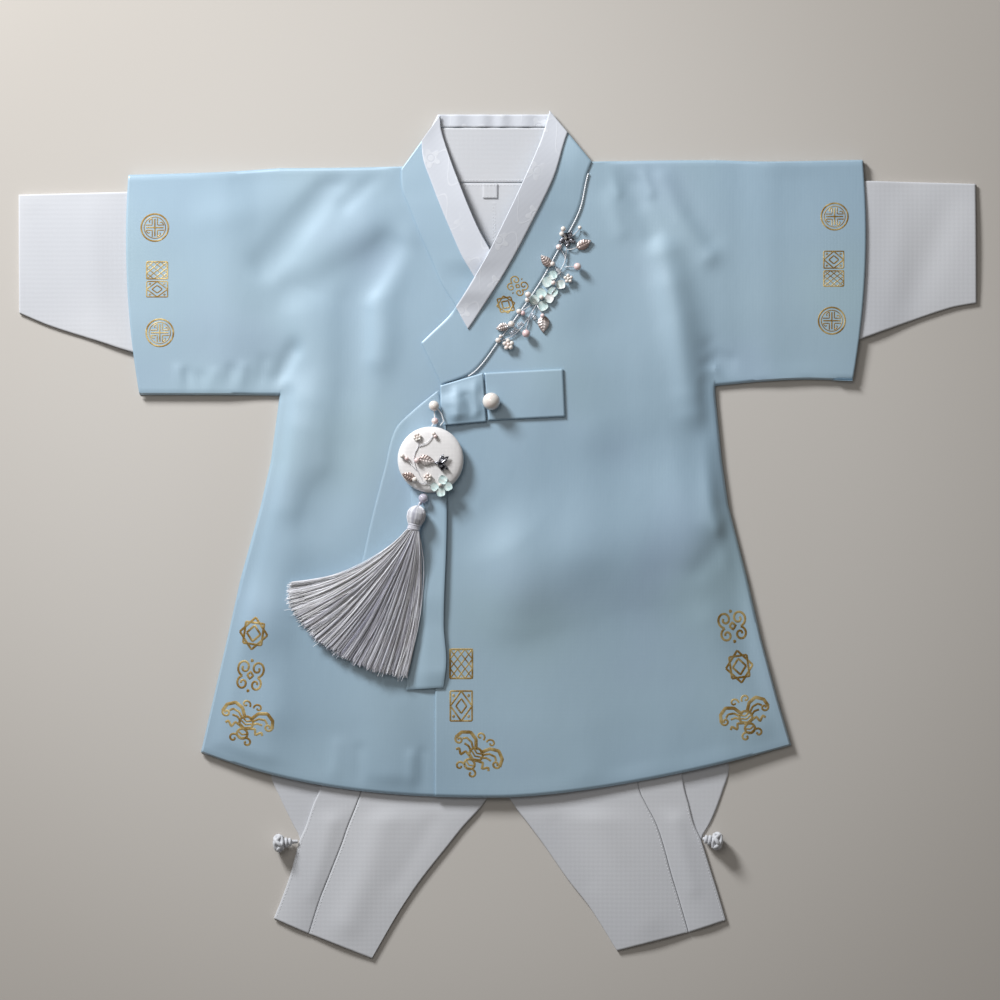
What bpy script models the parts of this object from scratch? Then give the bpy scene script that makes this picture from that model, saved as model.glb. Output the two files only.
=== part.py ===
"""A baby boy's first-birthday hanbok, laid flat: blue jacket, inner sleeves, trousers and hanging ornament.

The cloth lies in layers on a flat surface. X runs to the right of the laid garment, Y towards its
neck and Z up. Every panel is a thin closed wall: its outline comes from short tables of edges, and
its height from one set of functions, so that each layer follows the one below it.
"""

import math
from collections import namedtuple

import bmesh
import bpy
from mathutils import Vector

# Units and cloth
MM = 0.001
CLOTH = 1.0
GAP = 0.3
LAYER = CLOTH + GAP

# Overall sizes of the jacket, in millimetres
ARMHOLE_X = 148.0
ARMPIT_LEFT_Y = 94.5
ARMPIT_RIGHT_Y = 101.0
ARMPIT_STATION = 0.6
HEM_LOW_Y = -178.5
HEM_CORNER_LEFT = (-201.6, -147.9)
HEM_CORNER_RIGHT = (199.8, -143.1)
HEM_BEND_LEFT = 2.5
HEM_BEND_RIGHT = 1.6
SHOULDER_LEFT_Y = 249.0
SHOULDER_RIGHT_Y = 254.4
EDGE_ROLL = 8.0
EDGE_CLEARANCE = 0.2
SWELL = 0.8
SWELL_REACH = 55.0
OVERLAP_FULL_X = 26.0
OVERLAP_END_X = 92.0
FRONT_EDGE_X = -42.5
NECK_HALF_WIDTH = 64.0
RIBBON_CLEARANCE = 0.2
SLEEVE_LIFT_START_X = 160.0
SLEEVE_LIFT_END_X = 190.0

# Trousers below the jacket
TROUSER_STACK = 2 * LAYER
WAIST_TOP_Y = 100.0
WAIST_SEAM_Y = 78.0
WAIST_HALF_WIDTH = 104.0
THIGH_HALF_WIDTH = 158.0
LIFT_FADE = 30.0

# Hard and hanging pieces
BUTTON_RADIUS = 6.0
SMALL_PEARL_RADIUS = 3.6
STRING_RADIUS = 0.45
PIPING_RADIUS = 0.7
DISC_RADIUS = 22.4
DISC_THICKNESS = 7.0
TASSEL_COLUMNS = 20
TASSEL_LAYERS = 5
STEM_RADIUS = 0.5

Row = namedtuple("Row", "y left right")
Section = namedtuple("Section", "inner outer")
Fold = namedtuple("Fold", "start end width height")
Finish = namedtuple("Finish", "colour roughness metallic")
Leaf = namedtuple("Leaf", "name place length width turn")
Flower = namedtuple("Flower", "name place radius petals turn")
Pearl = namedtuple("Pearl", "name place radius")
KnotRing = namedtuple("KnotRing", "share radius")
HeadRing = namedtuple("HeadRing", "distance half_width half_height")

SIDES = (
    Row(-148.0, -201.6, 201.0),
    Row(-110.0, -192.8, 189.7),
    Row(-70.0, -183.5, 178.9),
    Row(-30.0, -174.6, 169.7),
    Row(20.0, -160.8, 156.8),
    Row(50.0, -154.0, 152.5),
    Row(94.5, -148.0, 148.0),
)

FOLDS = (
    Fold((-110.0, 241.0), (-160.0, 185.0), 9.0, -0.9),
    Fold((-82.0, 244.0), (-104.0, 224.0), 6.0, -0.6),
    Fold((-80.0, 191.0), (-138.0, 166.0), 13.0, -1.0),
    Fold((-84.0, 157.0), (-82.0, 120.0), 10.0, 0.9),
    Fold((-138.0, 128.0), (-152.0, 106.0), 6.0, -0.7),
    Fold((-134.0, 71.0), (-142.0, 20.0), 12.0, 0.9),
    Fold((-160.0, -60.0), (-150.0, -120.0), 16.0, 0.8),
    Fold((84.0, 245.0), (96.0, 226.0), 6.0, -0.6),
    Fold((111.0, 244.0), (142.0, 200.0), 9.0, -0.9),
    Fold((118.0, 168.0), (130.0, 98.0), 12.0, 1.1),
    Fold((144.0, 128.0), (156.0, 112.0), 6.0, -0.7),
    Fold((160.0, 2.0), (136.0, -24.0), 8.0, -0.7),
    Fold((70.0, -38.0), (122.0, -92.0), 24.0, -0.9),
    Fold((66.0, 60.0), (60.0, -10.0), 20.0, 0.8),
    Fold((158.0, -70.0), (168.0, -115.0), 14.0, 0.7),
)

UNDER_COLLAR = (
    Section((-39.1, 284.6), (-65.6, 247.9)),
    Section((-38.2, 275.0), (-64.9, 234.3)),
    Section((-32.3, 256.0), (-59.5, 220.7)),
    Section((-25.5, 237.7), (-52.7, 203.7)),
    Section((-18.7, 220.7), (-44.5, 185.3)),
    Section((-11.9, 205.7), (-37.7, 169.7)),
    Section((-5.1, 193.5), (-29.9, 157.4)),
    Section((-1.0, 185.5), (-25.5, 150.0)),
)

OVER_COLLAR = (
    Section((35.4, 288.0), (63.9, 253.3)),
    Section((29.0, 267.0), (60.0, 243.0)),
    Section((17.0, 239.0), (54.5, 219.7)),
    Section((3.0, 209.5), (39.0, 191.0)),
    Section((-9.0, 186.0), (26.0, 168.3)),
    Section((-30.6, 151.3), (2.0, 134.6)),
    Section((-46.5, 135.2), (-17.0, 110.5)),
    Section((-51.7, 130.2), (-38.0, 101.5)),
)

OVER_STRIP_SHARE = 0.43
UNDER_STRIP_SHARE = 0.47
OVER_STRIP_LENGTH = 0.785

UNDER_FRONT_EDGE = (
    (20.0, -178.3),
    (19.0, -60.0),
    (16.0, 40.0),
    (8.0, 110.0),
    (-8.0, 140.0),
    (-22.0, 161.0),
    (-37.0, 189.0),
    (-52.0, 223.0),
    (-57.5, 249.0),
)

OVER_FRONT_EDGE = (
    (-42.5, -177.9),
    (-42.0, -60.0),
    (-41.0, 40.0),
    (-37.0, 88.0),
    (-20.0, 113.0),
    (0.0, 142.0),
    (19.0, 167.6),
    (37.0, 199.6),
    (49.0, 225.0),
    (57.5, 251.5),
)

# Sleeve sections from the cuff to the armhole: lower edge point, then upper edge point
BLUE_SLEEVE_LEFT = (
    Section((-243.1, 94.9), (-250.6, 244.5)),
    Section((-210.0, 94.8), (-210.0, 245.6)),
    Section((-180.0, 94.7), (-180.0, 246.8)),
    Section((-148.3, 94.5), (-148.3, 249.0)),
)
BLUE_SLEEVE_RIGHT = (
    Section((241.1, 104.4), (247.9, 254.7)),
    Section((210.0, 105.4), (210.0, 253.9)),
    Section((180.0, 104.0), (180.0, 253.6)),
    Section((148.3, 101.0), (148.3, 254.0)),
)
CUFF_BOW_LEFT = -4.5
CUFF_BOW_RIGHT = 5.0
WHITE_SLEEVE_LEFT = (
    Section((-325.0, 150.6), (-325.4, 230.9)),
    Section((-304.0, 141.8), (-304.0, 231.5)),
    Section((-270.0, 131.0), (-270.0, 232.4)),
    Section((-248.0, 124.1), (-248.0, 232.9)),
    Section((-204.0, 113.0), (-204.0, 233.8)),
)
WHITE_SLEEVE_RIGHT = (
    Section((325.4, 157.4), (324.8, 238.3)),
    Section((307.7, 154.0), (307.7, 238.8)),
    Section((273.7, 142.5), (273.7, 239.7)),
    Section((247.0, 133.0), (247.0, 240.4)),
    Section((204.0, 118.0), (204.0, 241.0)),
)
WHITE_DROP_START_X = 254.0
WHITE_DROP_LENGTH = 30.0

# Trouser sections from the waist to the ankle: outer edge point, then inner edge point
LEFT_LEG_BACK = (
    Section((-103.0, 77.6), (-0.6, 77.6)),
    Section((-128.0, -30.0), (-1.2, -42.0)),
    Section((-154.0, -160.8), (-3.0, -168.0)),
    Section((-147.6, -179.2), (-9.0, -182.0)),
    Section((-138.7, -197.5), (-24.0, -199.2)),
    Section((-134.4, -207.5), (-33.0, -210.5)),
    Section((-141.0, -231.5), (-52.0, -234.5)),
    Section((-146.5, -247.0), (-66.3, -255.3)),
    Section((-152.0, -260.8), (-85.3, -288.0)),
)
LEFT_SEAM = (
    (-60.0, 77.6),
    (-72.0, -40.0),
    (-92.1, -172.0),
    (-96.0, -184.0),
    (-102.0, -199.0),
    (-106.0, -210.5),
    (-114.5, -232.0),
    (-121.0, -248.5),
    (-128.2, -271.2),
)
LEFT_FLAP_EDGE = (
    (-90.0, 77.6),
    (-106.0, -40.0),
    (-120.0, -170.0),
    (-125.5, -184.0),
    (-130.6, -199.0),
    (-134.4, -207.5),
    (-141.0, -231.5),
    (-146.5, -247.0),
    (-152.0, -260.8),
)
RIGHT_LEG_BACK = (
    Section((103.0, 77.6), (0.6, 77.6)),
    Section((128.0, -30.0), (1.2, -42.0)),
    Section((157.2, -156.0), (3.0, -168.0)),
    Section((152.5, -176.0), (10.0, -182.0)),
    Section((145.5, -194.0), (22.0, -198.0)),
    Section((138.4, -208.0), (31.5, -210.8)),
    Section((145.0, -228.5), (48.0, -234.5)),
    Section((150.2, -245.1), (63.2, -254.0)),
    Section((155.2, -262.0), (81.2, -282.8)),
)
RIGHT_SEAM = (
    (62.0, 77.6),
    (76.0, -40.0),
    (96.0, -172.0),
    (100.8, -183.0),
    (107.6, -196.0),
    (112.3, -209.5),
    (118.2, -231.0),
    (123.4, -248.0),
    (129.8, -270.3),
)
RIGHT_FLAP_EDGE = (
    (92.0, 77.6),
    (108.0, -40.0),
    (126.4, -170.0),
    (129.6, -182.5),
    (133.4, -197.0),
    (138.4, -208.0),
    (145.0, -228.5),
    (150.2, -245.1),
    (155.2, -262.0),
)

# White inside of the jacket back, seen in the neck
LINING = (
    Row(180.0, -10.0, 2.0),
    Row(200.0, -15.0, 7.0),
    Row(220.0, -24.0, 16.0),
    Row(238.8, -32.0, 24.0),
)
YOKE = (
    Row(239.2, -32.0, 24.0),
    Row(262.0, -40.0, 34.0),
    Row(276.4, -45.0, 39.0),
)
NECK_BAND = (
    Row(276.8, -45.0, 39.0),
    Row(285.4, -40.6, 37.0),
)
COLLAR_BACK = (
    Section((-60.0, 250.8), (59.0, 253.9)),
    Section((-50.0, 266.0), (49.5, 268.0)),
    Section((-38.6, 285.4), (35.0, 285.4)),
)
LABEL_CENTRE = (-5.0, 233.5)
LABEL_SIZE = 10.0

# Fastening ribbon
TAB_LEFT = ((-6.5, 77.2), (-9.2, 109.8))
TAB_RIGHT = ((45.9, 79.9), (44.5, 112.5))
TAB_THICKNESS = 1.6
KNOT_LEFT = ((-36.5, 74.0), (-38.6, 88.0), (-38.8, 101.0))
KNOT_RIGHT = ((-7.6, 76.6), (-8.8, 93.0), (-9.6, 109.8))
KNOT_PLEATS = 4
KNOT_HEIGHT = 3.4
WIDE_TAIL = (
    Section((-40.0, 98.0), (-36.0, 74.0)),
    Section((-58.0, 83.5), (-35.5, 66.0)),
    Section((-69.5, 71.0), (-41.0, 50.0)),
    Section((-76.5, 45.0), (-47.0, 25.0)),
    Section((-85.5, 10.0), (-55.0, -8.0)),
    Section((-92.3, -20.0), (-60.0, -35.0)),
    Section((-101.0, -55.0), (-63.0, -68.0)),
    Section((-110.0, -83.3), (-66.0, -97.5)),
)
NARROW_TAIL = (
    Section((-54.0, 80.0), (-35.0, 81.0)),
    Section((-57.0, 50.0), (-34.5, 50.0)),
    Section((-58.5, 0.0), (-34.6, 0.0)),
    Section((-59.5, -60.0), (-36.5, -60.0)),
    Section((-60.5, -85.0), (-34.8, -85.0)),
    Section((-62.0, -105.2), (-36.6, -103.7)),
)

BUTTON_PLACE = (-4.2, 90.2)
SMALL_PEARL_PLACE = (-43.0, 87.2)
HANG_BEAD_PLACE = (-42.3, 76.9)
HANG_BEAD_RADIUS = 2.4
DISC_PLACE = (-45.2, 50.8)
LINK_BEAD_PLACE = (-50.2, 24.6)
LINK_BEAD_RADIUS = 3.3
TASSEL_HEAD_PLACE = (-54.7, 13.6)
TASSEL_NECK_PLACE = (-56.9, 3.0)
TASSEL_NECK_RADIUS = 3.9
TASSEL_HEAD_RISE = 5.7

# Tips of the tassel's fan, from its right edge round to its left edge
TASSEL_TIPS = (
    (-60.8, -95.5),
    (-73.3, -93.4),
    (-86.7, -90.1),
    (-98.9, -85.3),
    (-110.5, -78.5),
    (-124.1, -68.3),
    (-134.3, -56.1),
    (-140.4, -46.1),
    (-141.1, -32.6),
)

SPRAY_LEAVES = (
    Leaf("spray_leaf_1", (59.6, 197.8), 11.0, 6.0, 10.0),
    Leaf("spray_leaf_2", (33.0, 186.6), 9.0, 6.0, 125.0),
    Leaf("spray_leaf_3", (31.2, 143.8), 12.0, 6.4, -95.0),
    Leaf("spray_leaf_4", (4.6, 140.4), 8.6, 5.0, 170.0),
)
SPRAY_FLOWERS = (
    Flower("spray_flower_1", (47.4, 200.3), 6.0, 5, 20.0),
    Flower("spray_flower_2", (43.2, 169.9), 5.4, 4, 10.0),
    Flower("spray_flower_3", (31.0, 159.4), 7.0, 4, 40.0),
    Flower("spray_flower_4", (7.4, 128.8), 4.6, 5, 0.0),
)
SPRAY_STEMS = (
    ((46.9, 192.8), (47.0, 186.0), (45.6, 180.5), (43.6, 176.8)),
    ((25.4, 152.4), (22.8, 147.0), (18.0, 141.5), (13.5, 137.5), (9.6, 134.4)),
)
SPRAY_PEARLS = (
    Pearl("spray_pearl_1", (54.2, 181.7), 2.6),
    Pearl("spray_pearl_2", (41.4, 193.6), 2.3),
    Pearl("spray_pearl_3", (15.6, 150.6), 2.7),
    Pearl("spray_pearl_4", (19.4, 135.9), 2.8),
)
DISC_LEAVES = (
    Leaf("disc_leaf_1", (-50.0, 50.7), 9.0, 5.4, 165.0),
    Leaf("disc_leaf_2", (-59.4, 39.2), 9.0, 5.4, -15.0),
)
DISC_FLOWERS = (
    Flower("disc_butterfly", (-37.4, 49.3), 5.6, 4, 35.0),
    Flower("disc_flower", (-38.2, 33.6), 6.2, 4, 0.0),
)
CHARM_THICKNESS = 1.0

# Cord knots that close the ankles, from their outer end to the trousers' slit
KNOT_ENDS_LEFT = ((-153.7, -209.6), (-135.9, -208.4))
KNOT_ENDS_RIGHT = ((154.2, -208.6), (139.6, -206.6))
KNOT_RINGS = (
    KnotRing(0.0, 1.6),
    KnotRing(0.07, 4.2),
    KnotRing(0.24, 5.6),
    KnotRing(0.42, 5.4),
    KnotRing(0.57, 3.9),
    KnotRing(0.66, 2.4),
    KnotRing(0.76, 3.1),
    KnotRing(0.88, 2.9),
    KnotRing(1.0, 1.5),
)
KNOT_END_HEIGHT = 2.6
KNOT_WAVES = 3
KNOT_WAVE_DEPTH = 0.12

FINISHES = {
    "blue_satin": Finish((0.36, 0.54, 0.66), 0.42, 0.0),
    "white_cloth": Finish((0.74, 0.75, 0.78), 0.7, 0.0),
    "white_brocade": Finish((0.80, 0.80, 0.82), 0.5, 0.0),
    "piping_cord": Finish((0.78, 0.80, 0.82), 0.4, 0.2),
    "pearl": Finish((0.88, 0.86, 0.83), 0.2, 0.0),
    "disc_silk": Finish((0.84, 0.84, 0.84), 0.5, 0.0),
    "tassel_thread": Finish((0.42, 0.41, 0.48), 0.45, 0.0),
    "silver_leaf": Finish((0.62, 0.52, 0.48), 0.35, 0.9),
    "dark_silver": Finish((0.30, 0.31, 0.34), 0.35, 0.9),
    "mint_petal": Finish((0.70, 0.86, 0.84), 0.25, 0.0),
    "lavender_bead": Finish((0.66, 0.62, 0.74), 0.2, 0.0),
}


def smooth(value):
    """0 below 0, 1 above 1 and an even S between them."""
    value = min(1.0, max(0.0, value))
    return value * value * (3.0 - 2.0 * value)


def mix(low, high, share):
    return low + (high - low) * share


def mix_points(first, second, share):
    return (mix(first[0], second[0], share), mix(first[1], second[1], share))


def through(points, share):
    """The place at this share of a smooth line through the points."""
    marks = [0.0]
    for before, after in zip(points, points[1:]):
        marks.append(marks[-1] + math.dist(before, after))
    reach = min(1.0, max(0.0, share)) * marks[-1]
    span = 0
    while span < len(points) - 2 and marks[span + 1] < reach:
        span += 1

    def slope(index):
        first = max(index - 1, 0)
        last = min(index + 1, len(points) - 1)
        run = marks[last] - marks[first]
        return [(b - a) / run for a, b in zip(points[first], points[last])]

    size = marks[span + 1] - marks[span]
    t = (reach - marks[span]) / size
    weights = (2 * t**3 - 3 * t**2 + 1, t**3 - 2 * t**2 + t, 3 * t**2 - 2 * t**3, t**3 - t**2)
    parts = zip(points[span], slope(span), points[span + 1], slope(span + 1))
    return tuple(
        weights[0] * p + weights[1] * size * m + weights[2] * q + weights[3] * size * n
        for p, m, q, n in parts
    )


def table_at(rows, y, column):
    """A column of a table of rows, read between its rows by y."""
    for low, high in zip(rows, rows[1:]):
        if y <= high.y:
            share = max(0.0, (y - low.y) / (high.y - low.y))
            return mix(getattr(low, column), getattr(high, column), share)
    return getattr(rows[-1], column)


# Outline of the jacket


def hem_y(x):
    """Height of the curved hem at x."""
    corner, bend = (HEM_CORNER_LEFT, HEM_BEND_LEFT) if x < 0 else (HEM_CORNER_RIGHT, HEM_BEND_RIGHT)
    return HEM_LOW_Y + (corner[1] - HEM_LOW_Y) * abs(x / corner[0]) ** bend


def shoulder_y(x):
    """Height of the shoulder line at x, level but for a slight tilt."""
    return mix(SHOULDER_LEFT_Y, SHOULDER_RIGHT_Y, smooth((x + ARMHOLE_X) / (2 * ARMHOLE_X)))


def sleeve_edges(x):
    """Lower and upper edge of the blue sleeve at x."""
    rows = BLUE_SLEEVE_LEFT if x < 0 else BLUE_SLEEVE_RIGHT
    for far, near in zip(rows, rows[1:]):
        if abs(x) >= abs(near.outer[0]):
            share = (abs(x) - abs(near.outer[0])) / (abs(far.outer[0]) - abs(near.outer[0]))
            share = min(1.0, share)
            return mix(near.inner[1], far.inner[1], share), mix(near.outer[1], far.outer[1], share)
    return rows[-1].inner[1], rows[-1].outer[1]


def inset(x, y):
    """How far this place lies inside the jacket's outline, cuffs left out."""
    if abs(x) > ARMHOLE_X:
        low, high = sleeve_edges(x)
        if y >= low:
            return min(y - low, high - y)
    armpit = ARMPIT_LEFT_Y if x < 0 else ARMPIT_RIGHT_Y
    if y < armpit:
        side = min(x - table_at(SIDES, y, "left"), table_at(SIDES, y, "right") - x)
    else:
        side = math.hypot(ARMHOLE_X - abs(x), y - armpit)
    return min(side, y - hem_y(x), shoulder_y(x) - y)


# Heights of the layers


def lift(x, y):
    """Height of the hidden trousers that the jacket lies on, fading to the floor beside them."""
    share = min(1.0, max(0.0, (WAIST_TOP_Y - y) / (WAIST_TOP_Y - HEM_LOW_Y)))
    half = mix(WAIST_HALF_WIDTH + 4.0, THIGH_HALF_WIDTH, share)
    across = 1.0 - smooth((abs(x) - half) / LIFT_FADE)
    along = 1.0 - smooth((y - WAIST_TOP_Y - 4.0) / LIFT_FADE)
    return TROUSER_STACK * across * along


def fold_height(x, y):
    """Sum of the soft troughs and ridges at this place."""
    total = 0.0
    for fold in FOLDS:
        run = Vector(fold.end) - Vector(fold.start)
        share = (Vector((x, y)) - Vector(fold.start)).dot(run) / run.length_squared
        foot = Vector(fold.start) + run * min(1.0, max(0.0, share))
        reach = (Vector((x, y)) - foot).length / fold.width
        total += fold.height * math.exp(-reach * reach)
    return total


def neck_share(x, y):
    """1 where the collar holds the layers up round the neck, 0 away from it."""
    return smooth((y - 222.0) / 18.0) * (1.0 - smooth((abs(x) - NECK_HALF_WIDTH - 4.0) / 22.0))


def under_front(x, y):
    """Underside of the under front and of the blue sleeves' fronts."""
    depth = inset(x, y)
    neck = neck_share(x, y)
    held = max(smooth(depth / EDGE_ROLL), neck)
    sleeve = smooth((abs(x) - SLEEVE_LIFT_START_X) / (SLEEVE_LIFT_END_X - SLEEVE_LIFT_START_X))
    swell = SWELL * smooth(depth / SWELL_REACH) + fold_height(x, y) * smooth(depth / 20.0)
    return lift(x, y) + LAYER + mix(EDGE_CLEARANCE, LAYER * (1.0 + sleeve), held) + swell * (1.0 - neck)


def overlap(x):
    """1 where the over front lies on the under front, 0 past the under front's edge."""
    return 1.0 - smooth((x - OVERLAP_FULL_X) / (OVERLAP_END_X - OVERLAP_FULL_X))


def over_front(x, y):
    return under_front(x, y) + LAYER * overlap(x)


def ribbon_bed(x, y):
    """What a ribbon lies on: the over front, and the under front left of its edge."""
    step = smooth((x - FRONT_EDGE_X + 20.0) / 16.0)
    return under_front(x, y) + LAYER + RIBBON_CLEARANCE + LAYER * overlap(x) * step


# Building tools


def material(name):
    found = bpy.data.materials.get(name)
    if found:
        return found
    finish = FINISHES[name]
    made = bpy.data.materials.new(name)
    made.use_nodes = True
    shader = made.node_tree.nodes["Principled BSDF"]
    shader.inputs["Base Color"].default_value = (*finish.colour, 1.0)
    shader.inputs["Roughness"].default_value = finish.roughness
    shader.inputs["Metallic"].default_value = finish.metallic
    made.diffuse_color = (*finish.colour, 1.0)
    return made


def finish_mesh(name, mesh, finish):
    """Turns a bmesh in millimetres into a named object in metres."""
    bmesh.ops.recalc_face_normals(mesh, faces=mesh.faces)
    bmesh.ops.scale(mesh, verts=mesh.verts, vec=(MM, MM, MM))
    data = bpy.data.meshes.new(name)
    mesh.to_mesh(data)
    mesh.free()
    data.materials.append(material(finish))
    data.shade_smooth()
    data.set_sharp_from_angle(angle=math.radians(50.0))
    made = bpy.data.objects.new(name, data)
    bpy.context.scene.collection.objects.link(made)
    return made


def wall(name, plan, stations, low, finish, thickness=CLOTH):
    """A closed wall over a plan. plan gives x, y and low gives the underside, both from two shares."""
    across, along = stations
    mesh = bmesh.new()
    sheets = ([], [])
    for t in along:
        rows = ([], [])
        for s in across:
            x, y = plan(s, t)
            base = low(x, y, s, t)
            height = thickness(s, t) if callable(thickness) else thickness
            rows[0].append(mesh.verts.new((x, y, base)))
            rows[1].append(mesh.verts.new((x, y, base + height)))
        sheets[0].append(rows[0])
        sheets[1].append(rows[1])
    bottom, top = sheets
    for sheet in sheets:
        for i in range(len(along) - 1):
            for j in range(len(across) - 1):
                mesh.faces.new((sheet[i][j], sheet[i][j + 1], sheet[i + 1][j + 1], sheet[i + 1][j]))
    ring = [(0, j) for j in range(len(across))]
    ring += [(i, len(across) - 1) for i in range(1, len(along))]
    ring += [(len(along) - 1, j) for j in range(len(across) - 2, -1, -1)]
    ring += [(i, 0) for i in range(len(along) - 2, 0, -1)]
    for (i, j), (k, m) in zip(ring, ring[1:] + ring[:1]):
        mesh.faces.new((bottom[i][j], bottom[k][m], top[k][m], top[i][j]))
    return finish_mesh(name, mesh, finish)


def even(count):
    return [index / count for index in range(count + 1)]


def edged(count):
    """Shares from 0 to 1, closer together at both ends, where the cloth rolls down."""
    return [0.5 - 0.5 * math.cos(math.pi * index / count) for index in range(count + 1)]


def split_stations(lower, upper):
    """Shares from hem to shoulder with one exactly at the armpit."""
    below = [ARMPIT_STATION * math.sin(0.5 * math.pi * index / lower) ** 1.3 for index in range(lower)]
    below[0] = 0.0
    rest = 1.0 - ARMPIT_STATION
    above = [1.0 - rest * math.sin(0.5 * math.pi * index / upper) for index in range(upper, -1, -1)]
    return below + above


def between(first, second):
    """The plan of a strip ruled between two lines."""
    return lambda s, t: mix_points(through(first, t), through(second, t), s)


def ruled(sections):
    return between([row.inner for row in sections], [row.outer for row in sections])


def rows_plan(rows):
    """The plan of a piece whose sides are a table of rows."""

    def plan(s, t):
        y = mix(rows[0].y, rows[-1].y, t)
        return mix(table_at(rows, y, "left"), table_at(rows, y, "right"), s), y

    return plan


def patch(west, east, south, north):
    """The plan of a panel bounded by four lines that meet at its corners."""

    def plan(s, t):
        w, e, b, n = west(t), east(t), south(s), north(s)
        corners = (west(0.0), east(0.0), west(1.0), east(1.0))
        place = []
        for axis in (0, 1):
            sides = mix(w[axis], e[axis], s) + mix(b[axis], n[axis], t)
            low = mix(corners[0][axis], corners[1][axis], s)
            high = mix(corners[2][axis], corners[3][axis], s)
            place.append(sides - mix(low, high, t))
        return tuple(place)

    return plan


def side_line(column):
    """One side of the jacket, from the hem's corner past the armpit to the shoulder."""
    corner = HEM_CORNER_LEFT if column == "left" else HEM_CORNER_RIGHT
    armpit = ARMPIT_LEFT_Y if column == "left" else ARMPIT_RIGHT_Y
    edge = -ARMHOLE_X if column == "left" else ARMHOLE_X

    def line(t):
        if t >= ARMPIT_STATION:
            share = (t - ARMPIT_STATION) / (1.0 - ARMPIT_STATION)
            return edge, mix(armpit, shoulder_y(edge), share)
        y = mix(corner[1], armpit, t / ARMPIT_STATION)
        return (corner[0] if t == 0.0 else table_at(SIDES, y, column)), y

    return line


def hem_line(first, last):
    def line(s):
        x = mix(first, last, s)
        return x, hem_y(x)

    return line


def shoulder_line(first, last):
    def line(s):
        x = mix(first, last, s)
        return x, shoulder_y(x)

    return line


def ball(name, place, radius, finish, squash=1.0, cuts=(12, 8)):
    mesh = bmesh.new()
    bmesh.ops.create_uvsphere(mesh, u_segments=cuts[0], v_segments=cuts[1], radius=radius)
    for vert in mesh.verts:
        vert.co = Vector((vert.co.x, vert.co.y, vert.co.z * squash)) + Vector(place)
    return finish_mesh(name, mesh, finish)


def tube(name, route, radius, finish, sides=6):
    """A closed round cord along a route of points in millimetres."""
    mesh = bmesh.new()
    rings = []
    for index, place in enumerate(route):
        before = Vector(route[max(index - 1, 0)])
        after = Vector(route[min(index + 1, len(route) - 1)])
        along = (after - before).normalized()
        aside = along.cross(Vector((0.0, 0.0, 1.0))).normalized()
        upward = aside.cross(along)
        ring = []
        for turn in range(sides):
            angle = 2.0 * math.pi * turn / sides
            offset = aside * math.cos(angle) + upward * math.sin(angle)
            ring.append(mesh.verts.new(Vector(place) + offset * radius))
        rings.append(ring)
    for ring, following in zip(rings, rings[1:]):
        for turn in range(sides):
            ahead = (turn + 1) % sides
            mesh.faces.new((ring[turn], ring[ahead], following[ahead], following[turn]))
    mesh.faces.new(rings[0])
    mesh.faces.new(rings[-1])
    return finish_mesh(name, mesh, finish)


# Trousers


def trouser_low(layer):
    """Underside of a trouser layer. The upper one swells a little below the jacket's hem."""

    def low(x, y, s, t):
        if layer == 0:
            return 0.0
        shown = smooth((-182.0 - y) / 14.0)
        return LAYER * layer + 0.7 * shown * 4.0 * s * (1.0 - s)

    return low


def on_floor(x, y, s, t):
    return 0.0


def on_lining_level(x, y, s, t):
    return LAYER


def on_trousers(x, y, s, t):
    return lift(x, y)


def under_front_low(x, y, s, t):
    return under_front(x, y)


def over_front_low(x, y, s, t):
    return over_front(x, y)


def build_trousers():
    stations = (edged(6), even(13))
    legs = (
        ("left", LEFT_LEG_BACK, LEFT_SEAM, LEFT_FLAP_EDGE, -1.0),
        ("right", RIGHT_LEG_BACK, RIGHT_SEAM, RIGHT_FLAP_EDGE, 1.0),
    )
    for side, sections, seam, flap_edge, sign in legs:
        inner = [row.inner for row in sections]
        outer = [row.outer for row in sections]
        front_seam = [(x - sign * 0.5 * GAP, y) for x, y in seam]
        flap_seam = [(x + sign * 0.5 * GAP, y) for x, y in seam]
        wall(f"trouser_{side}_back", between(inner, outer), stations, trouser_low(0), "white_cloth")
        wall(f"trouser_{side}_front", between(front_seam, outer), stations, trouser_low(1), "white_cloth")
        flap = (edged(3), even(13))
        wall(f"trouser_{side}_flap", between(flap_edge, flap_seam), flap, trouser_low(1), "white_cloth")
    half = WAIST_HALF_WIDTH
    band = rows_plan((Row(WAIST_SEAM_Y, -half, half), Row(WAIST_TOP_Y, -half, half)))
    wall("trouser_waistband", band, (even(4), even(1)), on_floor, "white_cloth", 2 * CLOTH + GAP)


def build_knot_button(side, ends):
    """A cord tied to a ball and a smaller bight, with the turns of the cord as soft waves."""
    outer, inner = Vector((*ends[0], 0.0)), Vector((*ends[1], 0.0))
    run = inner - outer
    aside = Vector((-run.y, run.x, 0.0)).normalized()
    upward = Vector((0.0, 0.0, 1.0))
    middle = max(row.radius for row in KNOT_RINGS)
    turns = 12
    mesh = bmesh.new()
    rings = []
    for row in KNOT_RINGS:
        axis_z = mix(middle, KNOT_END_HEIGHT, smooth(2.0 * row.share - 1.0))
        ring = []
        for turn in range(turns):
            angle = 2.0 * math.pi * turn / turns
            wave = 1.0 + KNOT_WAVE_DEPTH * math.cos(KNOT_WAVES * angle + 9.0 * row.share)
            offset = aside * math.cos(angle) + upward * math.sin(angle) * 0.85
            place = outer + run * row.share + upward * axis_z + offset * row.radius * wave
            ring.append(mesh.verts.new(place))
        rings.append(ring)
    for ring, following in zip(rings, rings[1:]):
        for turn in range(turns):
            ahead = (turn + 1) % turns
            mesh.faces.new((ring[turn], ring[ahead], following[ahead], following[turn]))
    mesh.faces.new(rings[0])
    mesh.faces.new(rings[-1])
    finish_mesh(f"knot_button_{side}", mesh, "white_cloth")


# Jacket


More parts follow.
